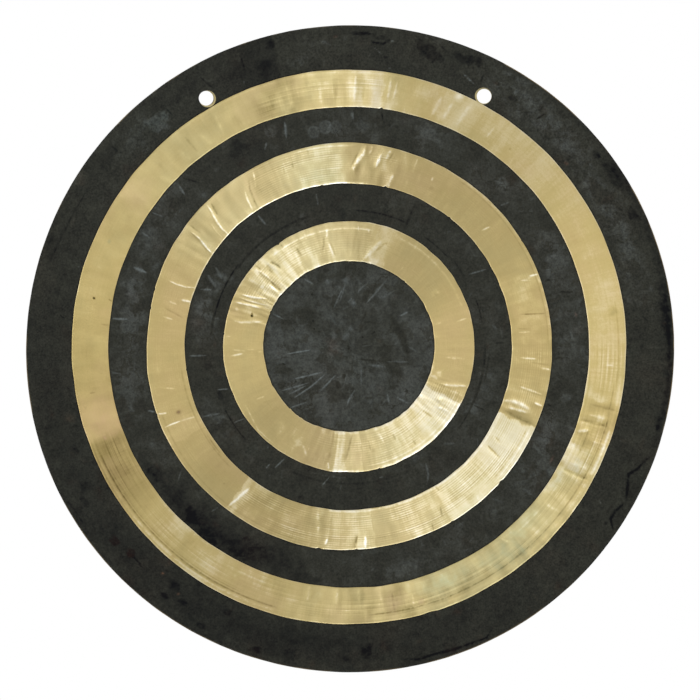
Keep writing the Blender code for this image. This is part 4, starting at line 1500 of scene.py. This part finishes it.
def lathed_bronze(name):
    """Bronze cut bright by the lathe, whose fine grooves spread highlights along the radius."""
    material, tree, shader, where = new_material("lathed_bronze_" + name)
    parts = drawn_noise(tree, where)
    parts.update({part: noise(tree, where, *shape) for part, shape in METAL_NOISE.items()})
    parts.update({mark: read_mark(tree, mark) for mark in ("tone", "tint", "grooved")})
    lathed = weigh(tree, LATHED_WEIGHTS, parts)
    parts["lathed"] = calculate(tree, "MULTIPLY", lathed, parts["grooved"])
    looks = {"tone": weigh(tree, METAL_TONES, parts), "tint": weigh(tree, METAL_TINTS, parts)}
    bronzes = (RING_BRONZES[name], BRIGHT_BRONZE, PALE_HIGHLIGHT_BRONZE, TARNISH_AND_SHADE, PINK_BRONZE, OLIVE_BRONZE)
    tangent = add_node(tree, "Tangent", direction_type="RADIAL", axis="Y").outputs["Tangent"]
    # The base colour carries the rings' painted highlight and painted shade, from the tone marks.
    feed(shader, {
        "Base Color": toned(tree, looks, *bronzes),
        "Roughness": weigh(tree, METAL_ROUGHNESS, parts, RING_ROUGHNESS[name]),
        "Metallic": 1,
        "Anisotropic": ANISOTROPY,
        "Anisotropic Rotation": QUARTER_TURN,
        "Tangent": tangent,
        "Normal": bump(tree, parts["fine_lines"], *METAL_BUMP),
    })
    return material


def fire_scale(name):
    """The black skin that the last heating leaves, blotched, veined, pitted and worn off at the edge."""
    material, tree, shader, where = new_material("fire_scale_" + name)
    parts = {part: noise(tree, where, *shape) for part, shape in SCALE_NOISE.items()}
    parts.update({mark: read_mark(tree, mark) for mark in ("tone", "tint", "bare")})
    parts["blotch"] = rising(tree, parts["blotch"], *BLOTCHED)
    crack = calculate(tree, "ABSOLUTE", parts["crack"])
    vein = calculate(tree, "SUBTRACT", 1.0, rising(tree, crack, 0.0, VEIN_WIDTH))
    parts["vein"] = calculate(tree, "MULTIPLY", vein, rising(tree, parts["cloud"], *VEINED))
    looks = {"tone": weigh(tree, SCALE_TONES, parts), "tint": weigh(tree, SCALE_TINTS, parts)}
    scale = toned(tree, looks, SCALE, BRIGHT_SCALE, PALE_SCALE, SOOT_AND_SHADE, RUST, GREEN_SCALE)
    grain = weigh(tree, SCALE_SHADES, parts)
    shade = calculate(tree, "MULTIPLY_ADD", grain, SCALE_GRAIN[name], 1.0)
    feed(shader, {
        "Base Color": mix_colour(tree, parts["bare"], scaled(tree, scale, shade), WORN_EDGE),
        "Metallic": parts["bare"],
        "Roughness": weigh(tree, SCALE_ROUGHNESS, parts, DULL),
        "Specular IOR Level": SCALE_SHINE,
        "Normal": bump(tree, weigh(tree, SCALE_HEIGHTS, parts), *SCALE_BUMP),
    })
    return material


def drilled_bronze(name, colour, roughness):
    """The cut metal of a hole."""
    material, tree, shader, where = new_material(name)
    mottle = noise(tree, where, *HOLE_NOISE)
    dark = tuple(HOLE_DARKER * part for part in colour[:3]) + (1,)
    share = calculate(tree, "MULTIPLY", mottle, HOLE_DARK_SHARE, clamp=True)
    feed(shader, {
        "Base Color": mix_colour(tree, share, colour, dark),
        "Metallic": 1,
        "Roughness": calculate(tree, "MULTIPLY_ADD", mottle, HOLE_ROUGHNESS, roughness),
    })
    return material


WORLD_LIGHT = 0.5


def light_world():
    """White to the camera and in reflections, and softer to the surfaces that it lights."""
    world = bpy.data.worlds.new("studio")
    bpy.context.scene.world = world
    world.use_nodes = True
    tree = world.node_tree
    tree.nodes.clear()
    path = add_node(tree, "LightPath")
    seen = path.outputs["Is Camera Ray"]
    for ray in ("Is Glossy Ray", "Is Transmission Ray"):
        seen = calculate(tree, "MAXIMUM", seen, path.outputs[ray])
    level = add_node(tree, "MapRange", inputs={"Value": seen, "To Min": WORLD_LIGHT, "To Max": 1.0})
    white = add_node(tree, "Background", (1, 1, 1, 1), level.outputs["Result"])
    add_node(tree, "OutputWorld", white.outputs[0])


Softbox = namedtuple("Softbox", "name direction off_axis distance wide high power colour side")
# Direction is clockwise round the gong's axis from the top, and side is -1 in front and 1 behind.
SOFTBOXES = (
    Softbox("key", 335, 32, 2.2, 1.30, 0.8, 17.5, (0.93, 1.04, 1.42), -1),
    Softbox("fill", 85, 34, 2.2, 1.30, 0.8, 6, (1, 1, 1), -1),
    Softbox("back_light", 30, 35, 2.4, 1.20, 0.8, 14, (1, 1, 1), 1),
)


def add_softbox(box):
    data = bpy.data.lights.new(box.name, "AREA")
    data.shape = "RECTANGLE"
    data.size = box.wide
    data.size_y = box.high
    data.energy = box.power
    data.color = box.colour
    lamp = link_object(box.name, data)
    away = box.distance * sin(radians(box.off_axis))
    ahead = box.distance * cos(radians(box.off_axis))
    lamp.location = toward(box.direction) * away + Vector((0, box.side * ahead, 0))
    back = lamp.location.normalized()
    round_axis = toward(box.direction + 90)
    lamp.rotation_mode = "QUATERNION"
    axes = Matrix((round_axis, back.cross(round_axis), back)).transposed()
    lamp.rotation_quaternion = axes.to_quaternion()
    lamp.visible_camera = False


def add_camera():
    data = bpy.data.cameras.new("camera")
    data.sensor_width = SENSOR_WIDTH
    data.lens = LENS
    camera = link_object("camera", data)
    distance = FRAME_WIDTH * LENS / SENSOR_WIDTH
    camera.location = (CAMERA_X, PLATE_BOX[0].y - distance, CAMERA_Z)
    camera.rotation_euler = (pi / 2, 0, 0)
    bpy.context.scene.camera = camera


FLOOR_RADIUS = 1.5
FLOOR_SEGMENTS = 128
FLOOR_DROP = 0.42
FLOOR_COLOUR = (0.9, 0.9, 0.9, 1)
FLOOR_ROUGHNESS = 0.8
FLOOR_GLOW = (1, 1, 0.95, 1)
FLOOR_WHITENING = 0.3


def add_floor():
    """A pale floor that takes the gong's shadow and is whitened to the camera alone."""
    bm = bmesh.new()
    bmesh.ops.create_circle(bm, cap_ends=True, segments=FLOOR_SEGMENTS, radius=FLOOR_RADIUS)
    mesh = bpy.data.meshes.new("floor")
    bm.to_mesh(mesh)
    bm.free()
    floor = link_object("floor", mesh)
    floor.location = (0, 0, -FLOOR_DROP)
    material, tree, shader, _ = new_material("floor")
    seen = add_node(tree, "LightPath").outputs["Is Camera Ray"]
    feed(shader, {
        "Base Color": FLOOR_COLOUR,
        "Roughness": FLOOR_ROUGHNESS,
        "Emission Color": FLOOR_GLOW,
        "Emission Strength": calculate(tree, "MULTIPLY", seen, FLOOR_WHITENING),
    })
    mesh.materials.append(material)


def make_gong():
    middle = plate_middle()
    pieces = {}
    for index, zone in enumerate(ZONES):
        piece = make_zone(index, middle)
        surface = lathed_bronze if zone.slot == "lathed_bronze" else fire_scale
        piece.data.materials.append(surface(zone.name))
        pieces[zone.name] = piece
    cut_holes(pieces, middle)
    for zone in ZONES:
        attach(pieces[zone.name], "root")
        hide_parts("gong_plate")


make_gong()
light_world()
for box in SOFTBOXES:
    add_softbox(box)
add_camera()
add_floor()
bpy.context.scene.view_settings.view_transform = "Standard"
